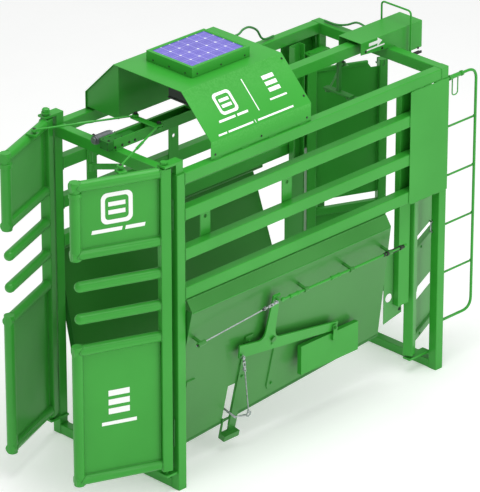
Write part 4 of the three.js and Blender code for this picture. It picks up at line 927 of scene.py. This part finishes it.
frameBolts = []
bolts = {"frame": frameBolts, "head_crosshead": [], "tail_crosshead": []}
for side in (1, -1):
    outward = alongX * side
    frameBolts.append((at(-100 if side > 0 else 16, -60, 1889), alongZ, 5.5))
    for y in (-30, 20, 70, 112):
        frameBolts.append((at(side * 32.2, y, 1848), outward, 5.0))
    bolts["head_crosshead"].append((at(side * 88, 231, 1924.5), alongZ, 9.0))
    bolts["tail_crosshead"].append((at(side * 80, 1680, 1626.2), alongZ, 9.0))
    for y, z in ((2070, 1760), (2220, 1760), (1800, 1860), (1930, 1845)):
        frameBolts.append((at(side * 85.1, y, z), outward, 5.0))
    for y, z in ((1665, 385), (1780, 415), (1665, 780), (1780, 780)):
        frameBolts.append((at(side * 380.8, y, z), -outward, 6.5))
        if y > 1735:
            frameBolts.append((at(side * 385.2, y, z), outward, 6.5))
for name, side in sides.items():
    bolts[name + "_head_tie_rod"] = [(onLeaf(headGate, side, 224, -39, 1913.6), alongZ, 9.0)]
    bolts[name + "_tail_tie_rod"] = [(onLeaf(tailGate, side, 180, -30, 1626.1), alongZ, 9.0)]
    _, outward = leafDirections(tailGate, side)
    bolts[name + "_tail_leaf"] = [
        (onLeaf(tailGate, side, s, 18.1, z), outward, 6.5) for z in (721, 186) for s in (120, 330)]
bolts["near_side"] = [(onSlope(y, 748, 7.1), slopeOut, 7.5) for y in (120, 780)]
bolts["near_side"] += [(onSlope(525, t, 9.1), slopeOut, 7.5) for t in (365, 600)]
bolts["far_side"] = [(onSlope(y, 748, 7.1, -1), Vector((-slopeOut.x, 0, slopeOut.z)), 7.5) for y in (120, 780, 1180)]
bolts["side_crank"] = [(onSlope(682, 392 + 34, 40.1), slopeOut, 5.0), (onSlope(1180, 505, 56.1), slopeOut, 8.0),
                       (onSlope(445, 410, 52.1), slopeOut, 6.5), (onSlope(648, 118, 52.1), slopeOut, 6.5)]
hexHead = {"Sides": 6, "Head Height": 0.62, "Washer Radius": 1.5, "Washer Height": 0.2}
for body, places in bolts.items():
    finish = weldCoat if "leaf" in body or "side" in body else darkZinc
    grow(body + "_bolts", pointMesh(places), "fastener", hexHead, finish, body)

hoodSlope = Vector((1, 0, 1)).normalized()
screws = []
for side in (1, -1):
    outward = alongX * side
    slopeAim = Vector((side * hoodSlope.x, 0, hoodSlope.z))
    for y in (262, 940, 600):
        screws.append((at(side * 475.1, y, 1856), outward, 5.0))
    for down in (30, 262):
        screws.append((at(side * (255 + down / math.sqrt(2) + 0.1), 950, 2152 - down / math.sqrt(2)), slopeAim, 5.0))
    for y in (430, 605, 780):
        screws.append((at(side * 172.1, y, 2168), outward, 4.0))
for x in (-120, 0, 120):
    screws.append((at(x, 392.4, 2168), -alongY, 4.0))
    screws.append((at(x, 818.1, 2168), alongY, 4.0))
domeHead = {"Sides": 12, "Head Height": 0.34, "Washer Radius": 1.3, "Washer Height": 0.14}
grow("hood_screws", pointMesh(screws), "fastener", domeHead, darkZinc, "frame")
motorScrews = []
for k in range(4):
    angle = math.pi / 4 + k * math.pi / 2
    motorScrews.append((at(-90 + 13 * math.cos(angle), 72.1, 1861.5 + 13 * math.sin(angle)), alongY, 2.6))
grow("motor_screws", pointMesh(motorScrews), "fastener", domeHead, darkZinc, "frame")
print("fasteners made")


# Head gate: a cap over the far hinge, knuckles on the posts, the drive's motor and gearbox, bright rod sleeves

knobTop = onLeaf(headGate, -1, 0, 0, 1914.2)
knobHead = {**hexHead, "Head Height": 0.85, "Washer Radius": 1.2}
grow("hinge_knob", pointMesh([(knobTop, alongZ, 21.0)]), "fastener", knobHead, tubeCoat, "far_head_leaf")
knuckles = {"x": 462.0, "y": -34.6, "radius": 5.4, "pin": 2.6, "pinPast": 4,
            "spans": ((262, 312), (316, 366), (370, 420), (1520, 1572), (1576, 1634), (1638, 1690))}
for name, side in sides.items():
    rods = [(low, high, knuckles["radius"], 14) for low, high in knuckles["spans"]]
    rods += [(low - knuckles["pinPast"], high + knuckles["pinPast"], knuckles["pin"], 10)
             for low, high in ((262, 420), (1520, 1690))]
    meshes = [rodMesh([at(side * knuckles["x"], knuckles["y"], z) for z in (low, high)], radius, segments)
              for low, high, radius, segments in rods]
    # the knuckles take the darker coat: painted shade
    joined(name + "_post_knuckles", meshes, shadedCoat, "frame", bevel=0.6)
motor = {"x": -88.0, "y": (-66.0, 50.0), "z": 1862.0, "radius": 24.0}


def alongMotor(start, end, radius):
    return rodMesh([at(motor["x"], start, motor["z"]), at(motor["x"], end, motor["z"])], radius, 28)


motorStart, motorEnd = motor["y"]
motorMeshes = [alongMotor(motorStart, motorEnd, motor["radius"]),
               alongMotor(motorStart - 9, motorStart - 2, motor["radius"] - 5)]
motorMeshes += [alongMotor(y, y + 3, motor["radius"] + 2) for y in range(-56, 36, 8)]
joined("head_motor", motorMeshes, castGrey, "frame", bevel=0.6)
gearbox = [slab((-36, -76, 1836), (29.5, 44, 1886)), slab((-28, 40, 1838), (29.5, 129, 1882)),
           slab((-66, -52, 1846), (-34, 20, 1878)), slab((-30, -70, 1885), (24, 38, 1889))]
# the gearbox takes the darker coat: painted shade
gearboxPiece = joined("head_gearbox", gearbox, shadedCoat, "frame", bevel=2.2)
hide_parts("head_actuator")
gearScrews = [(at(x, y, 1889), alongZ, 3.6) for x in (-24, 18) for y in (-62, -16, 30)]
gearScrews += [(at(x, -76, z), -alongY, 3.2) for x in (-28, 21) for z in (1844, 1878)]
grow("gearbox_screws", pointMesh(gearScrews), "fastener", domeHead, darkZinc, "frame")
for gate, start, end in (("head", 42, 220), ("tail", 1692, 1964)):
    ends = [at(0, y, 1861.5) for y in (start, end)]
    sweptRod(gate + "_drive_rod_sleeve", ends, 10.6, brightRod, gate + "_crosshead", 24)
print("gate details made")


# Small fixed parts at the rear portal: a drop pin, a hook, a keeper for the latch and a foot under the drive

pin = {"x": -446.0, "y": 1958.0, "z": (1631.0, 1764.0)}
rearMeshes = [rodMesh([at(pin["x"], pin["y"], pin["z"][0]), at(pin["x"], pin["y"], pin["z"][1])], 4.0, 12)]
hookRoute = bentRoute([at(-461.5, 2029, 1722), at(-461.5, 2052, 1722), at(-461.5, 2052, 1640), at(-461.5, 2036, 1640),
                       at(-461.5, 2036, 1668)], 9)
rearMeshes.append(rodMesh(hookRoute, 3.5, 12))
for x in (20, 74):
    corners = ((1972, 1757), (1961, 1757), (1961, 1730), (1952, 1730), (1952, 1741))
    route = bentRoute([at(x, y, z) for y, z in corners], 5)
    rearMeshes.append(rodMesh(route, 2.6, 10))
# the hooks and drop pin take the darker coat: painted shade
joined("rear_hooks_and_pin", rearMeshes, shadedCoat, "frame")
keeper = [rodMesh([at(436, 1968, 846), at(436, 1968, 900)], 4.0, 12),
          slab((424, 1964, 838), (448, 1971.5, 846)), slab((424, 1964, 900), (448, 1971.5, 908))]
joined("latch_keeper", keeper, zincPlate, "frame", bevel=1.0)
foot = [slab((62, 2176, 1724), (88, 2249, 1731.5)), slab((80, 2176, 1724), (88, 2249, 1738))]
joined("drive_foot", foot, boxPlastic, "frame", bevel=1.5)
print("rear details made")


# Controller that hangs under the hood, and the loom's gland on the closed bay

control = {"low": (88, 300, 2046), "high": (236, 430, 2146), "lid": 10.0}
low, high = control["low"], control["high"]
joined("controller_box", [slab((low[0], low[1], low[2] + control["lid"]), high)], boxPlastic, "frame", bevel=5.0)
lid = slab((low[0] - 3, low[1] - 3, low[2]), (high[0] + 3, high[1] + 3, low[2] + control["lid"]))
joined("controller_lid", [lid], boxPlastic, "frame", bevel=3.0)
gland = [(890.5, 11.0), (897, 10.0), (901, 8.5), (906, 7.5)]
glandMeshes = [rodMesh([at(-241, a, 2092), at(-240, b, 2094)], ra, 20) for (a, ra), (b, _) in zip(gland, gland[1:])]
joined("loom_gland", glandMeshes, boxPlastic, "frame", bevel=0.6)
print("controller made")


# Generic vinyl marks, with no lettering

def barShape(x, y, width, height, lean=0.0):
    return [[(x, y), (x + width, y), (x + width + lean, y + height), (x + lean, y + height)]]


def scaled(shape, size):
    return [[(a * size, b * size) for a, b in part] for part in shape]


def roundedSquare(half, corner, count=6):
    outline = []
    for cx, cy, start in ((1, 1, 0), (-1, 1, 90), (-1, -1, 180), (1, -1, 270)):
        for k in range(count + 1):
            angle = math.radians(start + 90 * k / count)
            centre = half - corner
            outline.append((cx * centre + corner * math.cos(angle), cy * centre + corner * math.sin(angle)))
    return outline


def frameShape(half, corner, width):
    outer, inner = roundedSquare(half, corner), roundedSquare(half - width, corner - width * 0.6)
    count = len(outer)
    return [[outer[k], outer[(k + 1) % count], inner[(k + 1) % count], inner[k]] for k in range(count)]


badgeMark = frameShape(50, 20, 13) + barShape(-27, 6, 54, 14) + barShape(-27, -20, 54, 14)
stackMark = barShape(-36, 22, 72, 20) + barShape(-36, -10, 72, 20) + barShape(-36, -42, 72, 20)
arrowMark = [[(-50, -9), (14, -9), (14, 9), (-50, 9)], [(14, -24), (50, 0), (14, 24)]]


def vinyl(name, body, origin, across, up, shape, thickness=0.5):
    meshes = [prism(part, thickness, origin, across, up) for part in shape]
    return joined(name, meshes, whiteVinyl, body)


slopeUp = Vector((-1, 0, 1)).normalized()
hoodOrigin = at(255, 0, 2152) + hoodSlope * 0.0003
hoodMarks = (
    ("hood_mark_front", 455, 138, scaled(badgeMark, 1.28)),
    ("hood_mark_front_line", 455, 226, barShape(-106, -6, 118, 13, 3) + barShape(26, -6, 78, 13, 3)),
    ("hood_mark_divider", 630, 150, barShape(-3, -96, 6, 192)),
    ("hood_mark_rear", 800, 128, scaled(stackMark, 1.15)),
    ("hood_mark_rear_line", 795, 214, barShape(-62, -5, 124, 10)),
    ("hood_mark_foot_line", 577, 292, barShape(-278, -5, 60, 10, 3) + barShape(-206, -5, 180, 10, 3)
     + barShape(-10, -9, 4, 18) + barShape(10, -5, 262, 10, 3)),
)
for name, y, down, shape in hoodMarks:
    vinyl(name, "frame", hoodOrigin + alongY * y * 0.001 - slopeUp * down * 0.001, alongY, slopeUp, shape)
nearAhead, _ = leafDirections(headGate, 1)
leafMarks = (
    ("upper_panel_mark", 262, 1706, scaled(badgeMark, 1.75)),
    ("upper_panel_mark_line", 258, 1584, barShape(-146, -10, 168, 21, 5) + barShape(40, -10, 108, 21, 5)),
    ("lower_panel_mark", 263, 594, scaled(stackMark, 1.65)),
    ("lower_panel_mark_line", 263, 472, barShape(-98, -10, 196, 20)),
)
for name, along, z, shape in leafMarks:
    vinyl(name, "near_head_leaf", onLeaf(headGate, 1, along, 1.8, z), -nearAhead, alongZ, shape)
vinyl("housing_arrow", "frame", at(85.3, 1877, 1893), alongY, alongZ, scaled(arrowMark, 1.05))
vinyl("housing_arrow_line", "frame", at(85.3, 1877, 1866), alongY, alongZ, barShape(-70, -4, 140, 8))
print("marks made")


# Stage, light and camera; the floor glows a little, like a light table

floorMaterial, floorTree, floorWhere = newMaterial("pale_studio_floor")
grain = noise(floorTree, floorWhere, 3.0, 2.0)
floorColour = mixColour(floorTree, grain, "#FAFBFA", "#F7F8F7")
finishMaterial(floorTree, {"Base Color": floorColour, "Roughness": 0.9,
    "Specular IOR Level": 0.2, "Emission Color": linear("#FFFFFF"), "Emission Strength": 0.24})
bpy.ops.mesh.primitive_plane_add(size=60, location=(0, 1, 0))
floor = bpy.context.object
floor.name = "studio_floor"
floor.data.materials.append(floorMaterial)

world = bpy.data.worlds.new("studio")
bpy.context.scene.world = world
world.use_nodes = True
world.node_tree.nodes["Background"].inputs[0].default_value = (1, 1, 1, 1)
world.node_tree.nodes["Background"].inputs[1].default_value = 0.6


def areaLight(name, place, target, size, power):
    light = bpy.data.lights.new(name, "AREA")
    light.shape = "DISK"
    light.size = size
    light.energy = power
    lamp = bpy.data.objects.new(name, light)
    bpy.context.scene.collection.objects.link(lamp)
    lamp.location = place
    lamp.rotation_mode = "QUATERNION"
    lamp.rotation_quaternion = (Vector(target) - Vector(place)).to_track_quat("-Z", "Y")
    return lamp


areaLight("overhead_softbox", (0.8, 0.4, 6.5), (0, 0.9, 0.8), 5.0, 190)
areaLight("right_softbox", (6.5, 1.6, 3.2), (0, 0.9, 0.9), 4.0, 105)

view = {"azimuth": 45.013, "elevation": 25.208, "place": (15.2376, -14.3140, 11.0994), "lens": 321.7}
cameraData = bpy.data.cameras.new("camera")
cameraData.sensor_width = 36
cameraData.lens = view["lens"]
cameraData.clip_start, cameraData.clip_end = 0.5, 200
camera = bpy.data.objects.new("camera", cameraData)
bpy.context.scene.collection.objects.link(camera)
azimuth, elevation = math.radians(view["azimuth"]), math.radians(view["elevation"])
back = Vector((math.sin(azimuth) * math.cos(elevation), -math.cos(azimuth) * math.cos(elevation), math.sin(elevation)))
camera.location = view["place"]
camera.rotation_mode = "QUATERNION"
camera.rotation_quaternion = (-back).to_track_quat("-Z", "Y")
bpy.context.scene.camera = camera
bpy.context.scene.view_settings.view_transform = "Standard"
bpy.context.scene.view_settings.look = "None"
